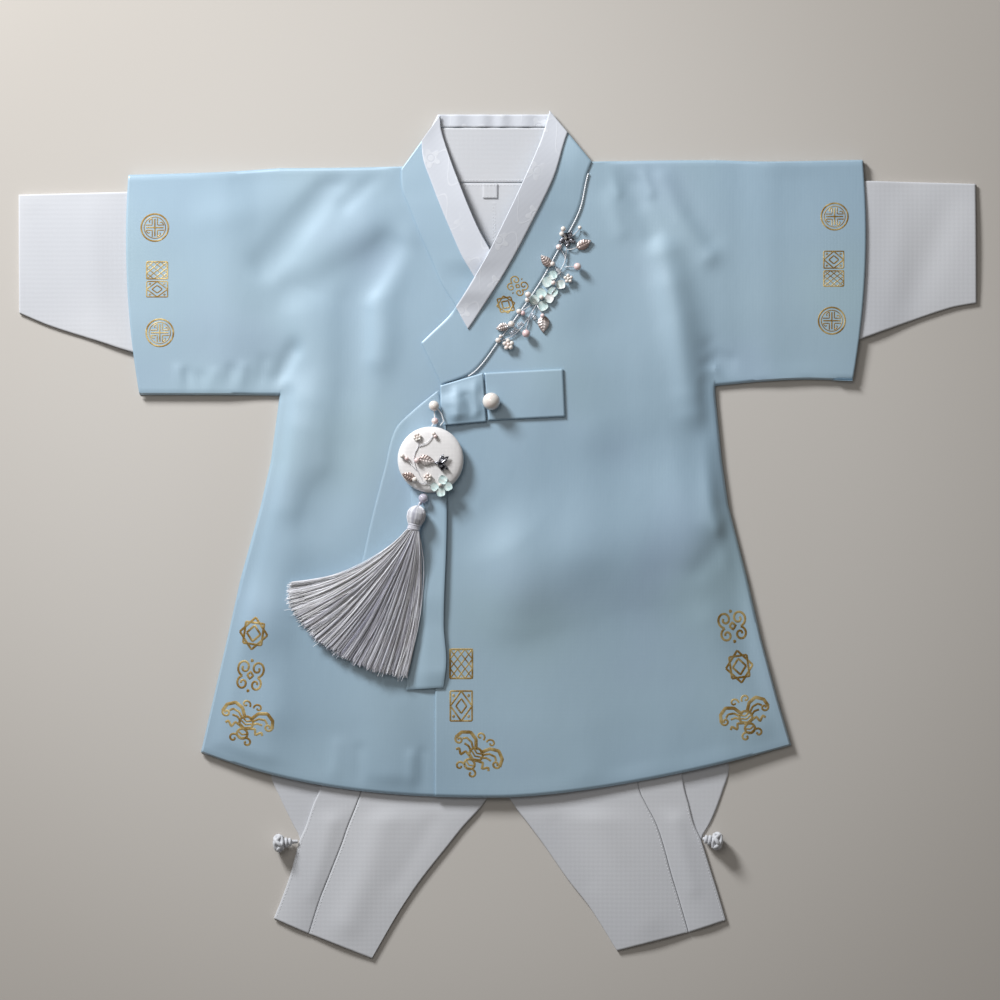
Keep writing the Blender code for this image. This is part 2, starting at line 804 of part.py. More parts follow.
def build_body():
    whole = patch(
        side_line("left"),
        side_line("right"),
        hem_line(HEM_CORNER_LEFT[0], HEM_CORNER_RIGHT[0]),
        shoulder_line(-ARMHOLE_X, ARMHOLE_X),
    )
    wall("jacket_back", whole, (edged(18), split_stations(8, 4)), on_trousers, "blue_satin")
    under = patch(
        side_line("left"),
        lambda t: through(UNDER_FRONT_EDGE, t),
        hem_line(HEM_CORNER_LEFT[0], UNDER_FRONT_EDGE[0][0]),
        shoulder_line(-ARMHOLE_X, UNDER_FRONT_EDGE[-1][0]),
    )
    stations = (edged(13), split_stations(10, 9))
    wall("jacket_front_under", under, stations, under_front_low, "blue_satin")
    over = patch(
        lambda t: through(OVER_FRONT_EDGE, t),
        side_line("right"),
        hem_line(OVER_FRONT_EDGE[0][0], HEM_CORNER_RIGHT[0]),
        shoulder_line(OVER_FRONT_EDGE[-1][0], ARMHOLE_X),
    )
    wall("jacket_front_over", over, stations, over_front_low, "blue_satin")


def bowed(sections, bow):
    """A sleeve's plan whose cuff line bows out between its ends."""
    plain = ruled(sections)

    def plan(s, t):
        x, y = plain(s, t)
        return x + bow * 4.0 * s * (1.0 - s) * (1.0 - smooth(t / 0.35)), y

    return plan


def white_low(layer):
    def low(x, y, s, t):
        drop = 1.0 - smooth((abs(x) - WHITE_DROP_START_X) / WHITE_DROP_LENGTH)
        swell = 0.9 * 4.0 * s * (1.0 - s) * (1.0 - drop) if layer else 0.0
        return LAYER * drop + LAYER * layer + swell

    return low


def build_sleeves():
    sides = (
        ("left", BLUE_SLEEVE_LEFT, WHITE_SLEEVE_LEFT, CUFF_BOW_LEFT),
        ("right", BLUE_SLEEVE_RIGHT, WHITE_SLEEVE_RIGHT, CUFF_BOW_RIGHT),
    )
    for side, blue, white, bow in sides:
        plan = bowed(blue, bow)
        grid = (edged(12), even(7))
        wall(f"sleeve_{side}_back", plan, (edged(6), even(4)), on_trousers, "blue_satin")
        wall(f"sleeve_{side}_front", plan, grid, under_front_low, "blue_satin")
        inner = ruled(white)
        small = (edged(6), even(9))
        wall(f"inner_sleeve_{side}_back", inner, small, white_low(0), "white_cloth")
        wall(f"inner_sleeve_{side}_front", inner, small, white_low(1), "white_cloth")


def build_neck():
    coarse = (even(4), even(4))
    wall("collar_back", ruled(COLLAR_BACK), coarse, on_floor, "blue_satin")
    wall("lining_back", rows_plan(LINING), coarse, on_lining_level, "white_cloth")
    wall("lining_yoke", rows_plan(YOKE), coarse, on_lining_level, "white_cloth")
    wall("neck_band", rows_plan(NECK_BAND), (even(4), even(1)), on_lining_level, "white_brocade")
    half = 0.5 * LABEL_SIZE
    x, y = LABEL_CENTRE
    label = (Row(y - half, x - half, x + half), Row(y + half, x - half, x + half))
    wall("label", rows_plan(label), (even(1), even(1)), lambda x, y, s, t: 2 * LAYER, "white_cloth", 0.6)


def under_collar_low(x, y, s, t):
    """The under collar leans from the lining at its inner edge up onto the under front."""
    return under_front(x, y) + LAYER * smooth(s / 0.55)


def over_collar_low(x, y, s, t):
    """The over collar rises over the under collar and its strip, and leans down to the over front."""
    crossing = 3.0 * LAYER * smooth(t / 0.3) - LAYER * smooth((t - 0.74) / 0.16)
    outer = LAYER + LAYER * overlap(x)
    return under_front(x, y) + mix(crossing, outer, smooth(s / 0.8))


def shared(plan, across, along=1.0):
    """The part of a plan up to these shares of its width and length."""
    return lambda s, t: plan(s * across, t * along)


def build_collars():
    under = ruled(UNDER_COLLAR)
    over = ruled(OVER_COLLAR)
    wall("collar_under", under, (even(5), even(16)), under_collar_low, "blue_satin")
    wall("collar_over", over, (even(6), even(24)), over_collar_low, "blue_satin")
    wall(
        "strip_under",
        shared(under, UNDER_STRIP_SHARE),
        (even(3), even(16)),
        lambda x, y, s, t: under_collar_low(x, y, s * UNDER_STRIP_SHARE, t) + LAYER,
        "white_brocade",
    )
    wall(
        "strip_over",
        shared(over, OVER_STRIP_SHARE, OVER_STRIP_LENGTH),
        (even(3), even(20)),
        lambda x, y, s, t: over_collar_low(x, y, s * OVER_STRIP_SHARE, t * OVER_STRIP_LENGTH) + LAYER,
        "white_brocade",
    )
    edge = [row.outer for row in OVER_COLLAR]
    route = []
    for index in range(25):
        t = mix(0.045, 0.9, index / 24)
        x, y = through(edge, t)
        ahead = Vector(through(edge, t + 0.01)) - Vector((x, y))
        aside = Vector((-ahead.y, ahead.x)).normalized()
        x += aside.x * (PIPING_RADIUS + GAP)
        y += aside.y * (PIPING_RADIUS + GAP)
        route.append((x, y, over_front(x, y) + LAYER + PIPING_RADIUS + 0.1))
    tube("piping", route, PIPING_RADIUS, "piping_cord")


# Ribbon and hanging ornament


def wide_tail_low(x, y, s, t):
    return ribbon_bed(x, y)


def narrow_tail_low(x, y, s, t):
    """On the wide tail above, and down on the front below it."""
    return ribbon_bed(x, y) + LAYER * smooth((y + 64.0) / 24.0)


def knot_low(x, y, s, t):
    over_tails = 1.0 - smooth((y - 88.0) / 9.0)
    aside = 1.0 - smooth((x + 30.0) / 12.0)
    return under_front(x, y) + 3.35 * LAYER + 0.75 * LAYER * over_tails * aside


def knot_thickness(s, t):
    """Gathered folds that run to the button side and sink towards the rim."""
    rim = smooth(4.0 * s) * smooth(4.0 * (1.0 - s)) * smooth(4.0 * t) * smooth(4.0 * (1.0 - t))
    pleat = 0.5 + 0.5 * math.cos(2.0 * math.pi * KNOT_PLEATS * (t + 0.12 * s))
    return 1.1 + (KNOT_HEIGHT - 1.1) * rim * (0.62 + 0.38 * pleat)


def tab_low(x, y, s, t):
    return over_front(x, y) + LAYER


def build_ribbon():
    wall("ribbon_tail_wide", ruled(WIDE_TAIL), (even(4), even(20)), wide_tail_low, "blue_satin")
    wall("ribbon_tail_narrow", ruled(NARROW_TAIL), (even(4), even(20)), narrow_tail_low, "blue_satin")
    tab = between(TAB_LEFT, TAB_RIGHT)
    wall("ribbon_tab", tab, (even(8), even(4)), tab_low, "blue_satin", TAB_THICKNESS)
    knot = between(KNOT_LEFT, KNOT_RIGHT)
    wall("ribbon_knot", knot, (even(8), even(16)), knot_low, "blue_satin", knot_thickness)


def ornament_bed(x, y):
    """What the ornament lies on: both tails, and past them the under front."""
    return under_front(x, y) + LAYER + 3.0 * LAYER * smooth((x + 138.0) / 26.0)


def build_pearls():
    x, y = BUTTON_PLACE
    rest = over_front(x, y) + LAYER + TAB_THICKNESS + GAP
    ball("pearl_button", (x, y, rest + BUTTON_RADIUS), BUTTON_RADIUS, "pearl", 1.0, (16, 10))
    x, y = SMALL_PEARL_PLACE
    pearl_z = ornament_bed(x, y) + SMALL_PEARL_RADIUS
    ball("pearl_small", (x, y, pearl_z), SMALL_PEARL_RADIUS, "pearl")
    top = (x, y - SMALL_PEARL_RADIUS - GAP, pearl_z)
    x, y = HANG_BEAD_PLACE
    bead_z = ornament_bed(x, y) + HANG_BEAD_RADIUS
    ball("hanging_bead", (x, y, bead_z), HANG_BEAD_RADIUS, "pearl")
    tube("hanging_string", [top, (x, y + HANG_BEAD_RADIUS + GAP, bead_z)], STRING_RADIUS, "piping_cord")
    x, y = LINK_BEAD_PLACE
    link_z = ornament_bed(x, y) + LINK_BEAD_RADIUS
    ball("link_bead", (x, y, link_z), LINK_BEAD_RADIUS, "lavender_bead")


def build_disc():
    x, y = DISC_PLACE
    centre = ornament_bed(x, y) + 0.5 * DISC_THICKNESS
    half = 0.5 * DISC_THICKNESS
    face = ((0.45, 1.0), (0.78, 0.92), (0.93, 0.7), (1.0, 0.3))
    profile = face + tuple((reach, -height) for reach, height in reversed(face))
    turns = 28
    mesh = bmesh.new()
    rings = []
    for reach, height in profile:
        ring = []
        for turn in range(turns):
            angle = 2.0 * math.pi * turn / turns
            radius = DISC_RADIUS * reach
            place = (x + radius * math.cos(angle), y + radius * math.sin(angle), centre + half * height)
            ring.append(mesh.verts.new(place))
        rings.append(ring)
    for ring, following in zip(rings, rings[1:]):
        for turn in range(turns):
            ahead = (turn + 1) % turns
            mesh.faces.new((ring[turn], ring[ahead], following[ahead], following[turn]))
    mesh.faces.new(rings[0])
    mesh.faces.new(rings[-1])
    finish_mesh("disc", mesh, "disc_silk")
    return centre + half


def build_tassel():
    """A wrapped head whose underside carries the strands, each fused to it at its root."""
    head = Vector((*TASSEL_HEAD_PLACE, 0.0))
    neck = Vector((*TASSEL_NECK_PLACE, 0.0))
    bed = ornament_bed(*TASSEL_HEAD_PLACE)
    along = (neck - head).normalized()
    aside = along.cross(Vector((0.0, 0.0, 1.0)))
    upward = Vector((0.0, 0.0, 1.0))
    mesh = bmesh.new()
    columns, layers = TASSEL_COLUMNS, TASSEL_LAYERS
    length = (neck - head).length
    rings_table = (
        HeadRing(-6.2, 1.6, 1.6),
        HeadRing(-4.8, 4.4, 4.0),
        HeadRing(-1.5, 6.4, 5.6),
        HeadRing(2.5, 6.4, 5.6),
        HeadRing(6.0, 4.9, 4.4),
        HeadRing(7.5, TASSEL_NECK_RADIUS, 3.4),
        HeadRing(length, TASSEL_NECK_RADIUS + 0.4, 3.4),
    )
    edge = []
    for column in range(columns):
        edge.append((-1.0 + 2.0 * column / columns, -1.0))
    for layer in range(layers):
        edge.append((1.0, -1.0 + 2.0 * layer / layers))
    for column in range(columns):
        edge.append((1.0 - 2.0 * column / columns, 1.0))
    for layer in range(layers):
        edge.append((-1.0, 1.0 - 2.0 * layer / layers))

    def round_place(across, high):
        """Moves a place on a square onto the matching round."""
        return across * math.sqrt(1.0 - 0.5 * high * high), high * math.sqrt(1.0 - 0.5 * across * across)

    def place(row, across, high):
        wide, tall = round_place(across, high)
        middle = head + along * row.distance + upward * (bed + TASSEL_HEAD_RISE)
        return middle + aside * wide * row.half_width + upward * tall * row.half_height

    rings = []
    for row in rings_table:
        rings.append([mesh.verts.new(place(row, a, h)) for a, h in edge])
    for ring, following in zip(rings, rings[1:]):
        for turn in range(len(edge)):
            ahead = (turn + 1) % len(edge)
            mesh.faces.new((ring[turn], ring[ahead], following[ahead], following[turn]))
    mesh.faces.new(rings[0])
    # Underside of the neck: a grid whose rim is the last ring
    rim = dict(zip(edge, rings[-1]))
    grid = []
    last = rings_table[-1]
    for layer in range(layers + 1):
        row = []
        for column in range(columns + 1):
            spot = (-1.0 + 2.0 * column / columns, -1.0 + 2.0 * layer / layers)
            near = [vert for key, vert in rim.items() if math.dist(key, spot) < 1e-6]
            row.append(near[0] if near else mesh.verts.new(place(last, *spot)))
        grid.append(row)
    for layer in range(layers):
        for column in range(columns):
            corners = (
                grid[layer][column],
                grid[layer][column + 1],
                grid[layer + 1][column + 1],
                grid[layer + 1][column],
            )
            grow_strand(mesh, corners, column, layer)
    finish_mesh("tassel", mesh, "tassel_thread")


def grow_strand(mesh, corners, column, layer):
    """One strand of four sides, fused to its cell of the head and run out to the fan's rim."""
    root = sum((vert.co for vert in corners), Vector()) / 4.0
    share = (column + 0.5) / TASSEL_COLUMNS
    height = (layer + 0.5) / TASSEL_LAYERS
    stagger = 0.3 * ((layer * 2) % TASSEL_LAYERS) / TASSEL_LAYERS - 0.12
    tip_share = min(1.0, max(0.0, share + stagger / TASSEL_COLUMNS))
    tip_x, tip_y = through(TASSEL_TIPS, tip_share)
    shorten = 0.03 * math.sin(2.4 * column + 1.7 * layer) ** 2
    tip_x = mix(tip_x, root.x, shorten)
    tip_y = mix(tip_y, root.y, shorten)
    sides = [vert.co.copy() for vert in corners]
    rings = [[mesh.verts.new(root + (corner - root) * 0.72) for corner in sides]]
    for index in range(4):
        ahead = (index + 1) % 4
        mesh.faces.new((corners[index], corners[ahead], rings[0][ahead], rings[0][index]))
    run = Vector((tip_x - root.x, tip_y - root.y, 0.0))
    across = run.cross(Vector((0.0, 0.0, 1.0))).normalized()
    steps = (0.42, 1.0)
    for step in steps:
        x = root.x + run.x * step
        y = root.y + run.y * step
        spread = mix(6.4, 3.6, step)
        floor = ornament_bed(x, y)
        z = mix(root.z, floor + 0.45 + spread * height, smooth(step / 0.42))
        half_wide = mix(0.17, 0.75, step)
        half_tall = mix(0.3, 0.24, step)
        middle = Vector((x, y, z))
        signs = ((-1.0, -1.0), (1.0, -1.0), (1.0, 1.0), (-1.0, 1.0))
        ring = []
        for wide, tall in signs:
            offset = across * half_wide * wide + Vector((0.0, 0.0, half_tall * tall))
            ring.append(mesh.verts.new(middle + offset))
        rings.append(ring)
    for ring, following in zip(rings, rings[1:]):
        for index in range(4):
            ahead = (index + 1) % 4
            mesh.faces.new((ring[index], ring[ahead], following[ahead], following[index]))
    mesh.faces.new(rings[-1])


def charm(name, place, low, outline, finish):
    """A small flat metal or petal piece with a raised middle, lying on what carries it."""
    mesh = bmesh.new()
    x, y = place
    bottom = [mesh.verts.new((x + u, y + v, low(x + u, y + v))) for u, v in outline]
    rim = [(0.94 * u, 0.94 * v, low(x + u, y + v) + CHARM_THICKNESS) for u, v in outline]
    top = [mesh.verts.new((x + u, y + v, height)) for u, v, height in rim]
    crown = mesh.verts.new((x, y, low(x, y) + CHARM_THICKNESS + 0.5))
    foot = mesh.verts.new((x, y, low(x, y)))
    for index in range(len(outline)):
        ahead = (index + 1) % len(outline)
        mesh.faces.new((bottom[index], bottom[ahead], top[ahead], top[index]))
        mesh.faces.new((top[index], top[ahead], crown))
        mesh.faces.new((bottom[ahead], bottom[index], foot))
    finish_mesh(name, mesh, finish)


def leaf_outline(leaf, count=12):
    turn = math.radians(leaf.turn)
    outline = []
    for index in range(count):
        angle = 2.0 * math.pi * index / count
        u = 0.5 * leaf.length * math.cos(angle)
        v = 0.5 * leaf.width * math.sin(angle) * (1.0 - 0.35 * math.cos(angle))
        outline.append((u * math.cos(turn) - v * math.sin(turn), u * math.sin(turn) + v * math.cos(turn)))
    return outline


def flower_outline(flower):
    count = flower.petals * 5
    outline = []
    for index in range(count):
        angle = 2.0 * math.pi * index / count + math.radians(flower.turn)
        wave = abs(math.cos(0.5 * flower.petals * 2.0 * math.pi * index / count))
        radius = flower.radius * (0.5 + 0.5 * wave**0.6)
        outline.append((radius * math.cos(angle), radius * math.sin(angle)))
    return outline


def spray_bed(x, y):
    """Just clear of the over front, or of the collar and its piping where the spray crosses them."""
    edge = [row.outer for row in OVER_COLLAR]
    distance, share = min((math.dist(through(edge, k / 60), (x, y)), k / 60) for k in range(61))
    ahead = Vector(through(edge, share + 0.01)) - Vector(through(edge, share - 0.01))
    offset = Vector((x, y)) - Vector(through(edge, share))
    outward = ahead.x * offset.y - ahead.y * offset.x
    on_collar = 1.0 if outward < 0.0 else 1.0 - smooth((distance - 4.0) / 8.0)
    return over_front(x, y) + LAYER + 2.3 * on_collar


def build_charms(disc_face):
    flower_finishes = {"spray_flower_1": "dark_silver", "spray_flower_4": "pearl"}
    for leaf in SPRAY_LEAVES:
        charm(leaf.name, leaf.place, spray_bed, leaf_outline(leaf), "silver_leaf")
    for flower in SPRAY_FLOWERS:
        finish = flower_finishes.get(flower.name, "mint_petal")
        charm(flower.name, flower.place, spray_bed, flower_outline(flower), finish)
    for pearl in SPRAY_PEARLS:
        x, y = pearl.place
        ball(pearl.name, (x, y, spray_bed(x, y) + pearl.radius), pearl.radius, "pearl", 1.0, (10, 6))
    for number, points in enumerate(SPRAY_STEMS, 1):
        places = [through(points, share) for share in even(8)]
        route = [(x, y, spray_bed(x, y) + STEM_RADIUS) for x, y in places]
        tube(f"spray_stem_{number}", route, STEM_RADIUS, "silver_leaf", 5)

    def on_disc(x, y):
        return disc_face + GAP

    for leaf in DISC_LEAVES:
        charm(leaf.name, leaf.place, on_disc, leaf_outline(leaf), "silver_leaf")
    for flower in DISC_FLOWERS:
        finish = "dark_silver" if flower.name == "disc_butterfly" else "mint_petal"
        charm(flower.name, flower.place, on_disc, flower_outline(flower), finish)


def build():
    for item in list(bpy.data.objects):
        bpy.data.objects.remove(item)
    build_trousers()
    build_knot_button("left", KNOT_ENDS_LEFT)
    build_knot_button("right", KNOT_ENDS_RIGHT)
    build_body()
    build_sleeves()
    build_neck()
    build_collars()
    build_ribbon()
    build_pearls()
    disc_face = build_disc()
    build_tassel()
    build_charms(disc_face)


build()
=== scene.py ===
"""The looks of a baby boy's first-birthday hanbok, laid flat on a plain surface.

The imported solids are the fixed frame. Every cloth panel is made again as a finer shell on the
same form, from the same edges and height rules, and the trims are modelled in full. Tables and
fields are in millimetres, finished meshes in metres. X runs to the right of the laid garment,
Y towards its neck and Z up.
"""

import logging
import math
from collections.abc import Callable, Sequence
from dataclasses import dataclass, field
from enum import Enum

import bpy
import numpy as np
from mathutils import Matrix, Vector
from mathutils.bvhtree import BVHTree


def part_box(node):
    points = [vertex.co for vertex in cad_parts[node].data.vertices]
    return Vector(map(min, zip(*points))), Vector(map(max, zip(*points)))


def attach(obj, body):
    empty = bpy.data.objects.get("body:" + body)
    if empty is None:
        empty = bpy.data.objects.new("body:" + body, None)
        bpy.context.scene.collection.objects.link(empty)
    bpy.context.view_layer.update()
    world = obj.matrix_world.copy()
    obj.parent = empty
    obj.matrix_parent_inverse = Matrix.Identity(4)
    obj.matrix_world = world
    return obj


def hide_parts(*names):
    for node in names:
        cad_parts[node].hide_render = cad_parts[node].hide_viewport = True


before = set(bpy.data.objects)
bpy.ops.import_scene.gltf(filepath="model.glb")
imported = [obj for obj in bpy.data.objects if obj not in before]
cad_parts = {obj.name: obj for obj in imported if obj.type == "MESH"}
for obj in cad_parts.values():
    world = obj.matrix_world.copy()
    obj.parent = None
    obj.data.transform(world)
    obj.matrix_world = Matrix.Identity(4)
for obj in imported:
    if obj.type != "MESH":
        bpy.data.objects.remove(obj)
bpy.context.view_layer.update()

Material = bpy.types.Material
NodeTree = bpy.types.NodeTree
Object = bpy.types.Object
Socket = bpy.types.NodeSocket
Array = np.ndarray
Place = tuple[float, float]
Body = tuple[Array, Sequence]
Colour = tuple[float, float, float, float]
Edge = Callable[[Array], tuple[Array, Array]]
Plan = Callable[[Array, Array], tuple[Array, Array]]
Height = Callable[..., Array]
Stroke = tuple[Array, float]

MM = 0.001
TURN = 2.0 * math.pi
BODY = "root"
# Edges steeper than this many degrees stay sharp
SHARP_ANGLE = 50.0
# Distance between the stations of a panel that shows and of one that hardly does
FINE, COARSE = 2.5, 5.0
# How often a wave texture rises in one unit of its scale
RIDGES = 20.0
log = logging.getLogger("hanbok")


# Numbers and lines


def smooth(value: Array | float) -> Array:
    """0 below 0, 1 above 1 and an even S between them."""
    value = np.clip(value, 0.0, 1.0)
    return value * value * (3.0 - 2.0 * value)


def mix(low: Array | float, high: Array | float, share: Array | float) -> Array:
    """The value this share of the way from low to high."""
    return low + (high - low) * share


def travel(points: Array) -> Array:
    """How far each point lies along a polyline."""
    return np.concatenate(([0.0], np.cumsum(np.linalg.norm(np.diff(points, axis=0), axis=1))))


@dataclass(frozen=True)
class Line:
    """A smooth line through a few points, read by its share of length."""

    points: tuple[Place, ...]

    def at(self, share: Array | float) -> tuple[Array, Array]:
        """Places on the line.

        Args:
            share: shares of the line's length, from 0 to 1.

        Returns:
            The x and y values.
        """
        points = np.array(self.points, float)
        marks = travel(points)
        first = np.maximum(np.arange(len(points)) - 1, 0)
        last = np.minimum(np.arange(len(points)) + 1, len(points) - 1)
        slopes = (points[last] - points[first]) / (marks[last] - marks[first])[:, None]
        reach = np.clip(np.asarray(share, float), 0.0, 1.0) * marks[-1]
        span = np.clip(np.searchsorted(marks, reach, side="left") - 1, 0, len(points) - 2)
        size = marks[span + 1] - marks[span]
        t = (reach - marks[span]) / size
        weights = (2 * t**3 - 3 * t**2 + 1, t**3 - 2 * t**2 + t, 3 * t**2 - 2 * t**3, t**3 - t**2)
        found = []
        for axis in (0, 1):
            start = weights[0] * points[span, axis] + weights[1] * size * slopes[span, axis]
            end = weights[2] * points[span + 1, axis] + weights[3] * size * slopes[span + 1, axis]
            found.append(start + end)
        return found[0], found[1]


def line(*numbers: float) -> Line:
    """A line from the x and y of each of its points."""
    return Line(tuple(zip(numbers[::2], numbers[1::2])))


@dataclass(frozen=True)
class Strip:
    """A panel's inner or lower edge and its other edge, with a point of each at every station."""

    inner: Line
    outer: Line


def strip(*rows: tuple[float, float, float, float]) -> Strip:
    """A strip from the x and y of its inner and its outer edge at each station."""
    return Strip(Line(tuple(row[:2] for row in rows)), Line(tuple(row[2:] for row in rows)))


def stations(*rows: tuple[float, float, float]) -> Array:
    """A table of y, left and right edge, one row for each, from its stations."""
    return np.array(rows, float).T


@dataclass(frozen=True)
class Crease:
    """A soft trough or ridge along a line, with its reach to each side and its height."""

    width: float
    height: float
    points: tuple[Place, ...]

    def at(self, x: Array, y: Array) -> Array:
        """Height that the crease adds at these places."""
        nearest = np.full(np.shape(x), np.inf)
        for start, end in zip(self.points, self.points[1:]):
            run = (end[0] - start[0], end[1] - start[1])
            size = run[0] ** 2 + run[1] ** 2
            share = np.clip(((x - start[0]) * run[0] + (y - start[1]) * run[1]) / size, 0.0, 1.0)
            away = np.hypot(x - start[0] - run[0] * share, y - start[1] - run[1] * share)
            nearest = np.minimum(nearest, away)
        return self.height * np.exp(-((nearest / self.width) ** 2))


def creases(*rows: tuple[float, ...]) -> tuple[Crease, ...]:
    """Creases from rows of width, height, and the x and y of each point."""
    return tuple(Crease(row[0], row[1], line(*row[2:]).points) for row in rows)


def folds_of(creases: Sequence[Crease], x: Array, y: Array) -> Array:
    """Sum of creases at these places."""
    return sum((crease.at(x, y) for crease in creases), np.zeros(np.shape(x)))


def between(first: Line, second: Line) -> Plan:
    """The plan of a panel ruled between two lines."""

    def plan(s: Array, t: Array) -> tuple[Array, Array]:
        """Places at shares of the width and the length."""
        (ax, ay), (bx, by) = first.at(t), second.at(t)
        return mix(ax, bx, s), mix(ay, by, s)

    return plan


def ruled(edges: Strip) -> Plan:
    """The plan of a panel ruled between its two edges."""
    return between(edges.inner, edges.outer)


def rows_plan(rows: Array) -> Plan:
    """The plan of a panel whose sides are straight between its stations."""
    ys, lefts, rights = rows

    def plan(s: Array, t: Array) -> tuple[Array, Array]:
        """Places at shares of the width and the length."""
        y = mix(ys[0], ys[-1], t)
        return mix(np.interp(y, ys, lefts), np.interp(y, ys, rights), s), y

    return plan


def patch(west: Edge, east: Edge, south: Edge, north: Edge) -> Plan:
    """The plan of a panel bounded by four lines that meet at its corners.

    Args:
        west, east: the side lines, each giving x and y from a share of the height.
        south, north: the lower and upper line, from a share of the width.

    Returns:
        The plan.
    """

    def plan(s: Array, t: Array) -> tuple[Array, Array]:
        """Places at shares of the width and the length."""
        zero, one = np.array(0.0), np.array(1.0)
        found = []
        for axis in (0, 1):
            sides = mix(west(t)[axis], east(t)[axis], s) + mix(south(s)[axis], north(s)[axis], t)
            low = mix(west(zero)[axis], east(zero)[axis], s)
            high = mix(west(one)[axis], east(one)[axis], s)
            found.append(sides - mix(low, high, t))
        return found[0], found[1]

    return plan


def part_of(plan: Plan, across: float, along: float = 1.0) -> Plan:
    """The part of a plan up to these shares of its width and length."""
    return lambda s, t: plan(s * across, t * along)


def level(height: float) -> Height:
    """An underside at one height."""
    return lambda x, *shares: np.full(np.shape(x), height)


# Tables of the cut, in millimetres

SIDES = stations(
    (-148, -201.6, 201), (-110, -192.8, 189.7), (-70, -183.5, 178.9), (-30, -174.6, 169.7),
    (20, -160.8, 156.8), (50, -154, 152.5), (94.5, -148, 148),
)
UNDER_FRONT_EDGE = line(
    20, -178.3, 19, -60, 16, 40, 8, 110, -8, 140, -22, 161, -37, 189, -52, 223, -57.5, 249,
)
OVER_FRONT_EDGE = line(
    -42.5, -177.9, -42, -60, -41, 40, -37, 88, -20, 113, 0, 142, 19, 167.6, 37, 199.6, 49, 225,
    57.5, 251.5,
)
UNDER_COLLAR = strip(
    (-39.1, 284.6, -65.6, 247.9), (-38.2, 275, -64.9, 234.3), (-32.3, 256, -59.5, 220.7),
    (-25.5, 237.7, -52.7, 203.7), (-18.7, 220.7, -44.5, 185.3), (-11.9, 205.7, -37.7, 169.7),
    (-5.1, 193.5, -29.9, 157.4), (-1, 185.5, -25.5, 150),
)
OVER_COLLAR = strip(
    (35.4, 288, 63.9, 253.3), (29, 267, 60, 243), (17, 239, 54.5, 219.7), (3, 209.5, 39, 191),
    (-9, 186, 26, 168.3), (-30.6, 151.3, 2, 134.6), (-46.5, 135.2, -17, 110.5),
    (-51.7, 130.2, -38, 101.5),
)
COLLAR_BACK = strip(
    (-60, 250.8, 59, 253.9), (-50, 266, 49.5, 268), (-38.6, 285.4, 35, 285.4),
)
BLUE_SLEEVE = {
    "left": strip(
        (-243.1, 94.9, -250.6, 244.5), (-210, 94.8, -210, 245.6), (-180, 94.7, -180, 246.8),
        (-148, 94.5, -148, 249),
    ),
    "right": strip(
        (241.1, 104.4, 247.9, 254.7), (210, 105.4, 210, 253.9), (180, 104, 180, 253.6),
        (148, 101, 148, 254.4),
    ),
}
WHITE_SLEEVE = {
    "left": strip(
        (-325, 150.6, -325.4, 230.9), (-304, 141.8, -304, 231.5), (-270, 131, -270, 232.4),
        (-248, 124.1, -248, 232.9), (-204, 113, -204, 233.8),
    ),
    "right": strip(
        (325.4, 157.4, 324.8, 238.3), (307.7, 154, 307.7, 238.8), (273.7, 142.5, 273.7, 239.7),
        (247, 133, 247, 240.4), (204, 118, 204, 241),
    ),
}
LEG_BACK = {
    "left": strip(
        (-103, 77.6, -0.6, 77.6), (-128, -30, -1.2, -42), (-154, -160.8, -3, -168),
        (-147.6, -179.2, -9, -182), (-138.7, -197.5, -24, -199.2), (-134.4, -207.5, -33, -210.5),
        (-141, -231.5, -52, -234.5), (-146.5, -247, -66.3, -255.3), (-152, -260.8, -85.3, -288),
    ),
    "right": strip(
        (103, 77.6, 0.6, 77.6), (128, -30, 1.2, -42), (157.2, -156, 3, -168), (152.5, -176, 10, -182),
        (145.5, -194, 22, -198), (138.4, -208, 31.5, -210.8), (145, -228.5, 48, -234.5),
        (150.2, -245.1, 63.2, -254), (155.2, -262, 81.2, -282.8),
    ),
}
LEG_SEAM = {
    "left": line(
        -60, 77.6, -72, -40, -92.1, -172, -96, -184, -102, -199, -106, -210.5, -114.5, -232,
        -121, -248.5, -128.2, -271.2,
    ),
    "right": line(
        62, 77.6, 76, -40, 96, -172, 100.8, -183, 107.6, -196, 112.3, -209.5, 118.2, -231, 123.4, -248,
        129.8, -270.3,
    ),
}
FLAP_EDGE = {
    "left": line(
        -90, 77.6, -106, -40, -120, -170, -125.5, -184, -130.6, -199, -134.4, -207.5, -141, -231.5,
        -146.5, -247, -152, -260.8,
    ),
    "right": line(
        92, 77.6, 108, -40, 126.4, -170, 129.6, -182.5, 133.4, -197, 138.4, -208, 145, -228.5,
        150.2, -245.1, 155.2, -262,
    ),
}
LINING = stations(
    (180, -10, 2), (200, -15, 7), (220, -24, 16), (238.8, -32, 24),
)
YOKE = stations(
    (239.2, -32, 24), (262, -40, 34), (276.4, -45, 39),
)
NECK_BAND = stations(
    (276.8, -45, 39), (285.4, -40.6, 37),
)
WIDE_TAIL = strip(
    (-40, 98, -36, 74), (-58, 83.5, -35.5, 66), (-69.5, 71, -41, 50), (-76.5, 45, -47, 25),
    (-85.5, 10, -55, -8), (-92.3, -20, -60, -35), (-101, -55, -63, -68), (-110, -83.3, -66, -97.5),
)
NARROW_TAIL = strip(
    (-40, 80, -35, 81), (-44, 66, -34.6, 66), (-57, 44, -34.5, 44), (-58.5, 0, -34.6, 0),
    (-59.5, -60, -36.5, -60), (-60.5, -85, -34.8, -85), (-62, -105.2, -36.6, -103.7),
)
TAB_LEFT = line(-6.5, 77.2, -9.2, 109.8)
TAB_RIGHT = line(45.9, 79.9, 44.5, 112.5)
KNOT_LEFT = line(-36.5, 74, -38.6, 88, -38.8, 101)
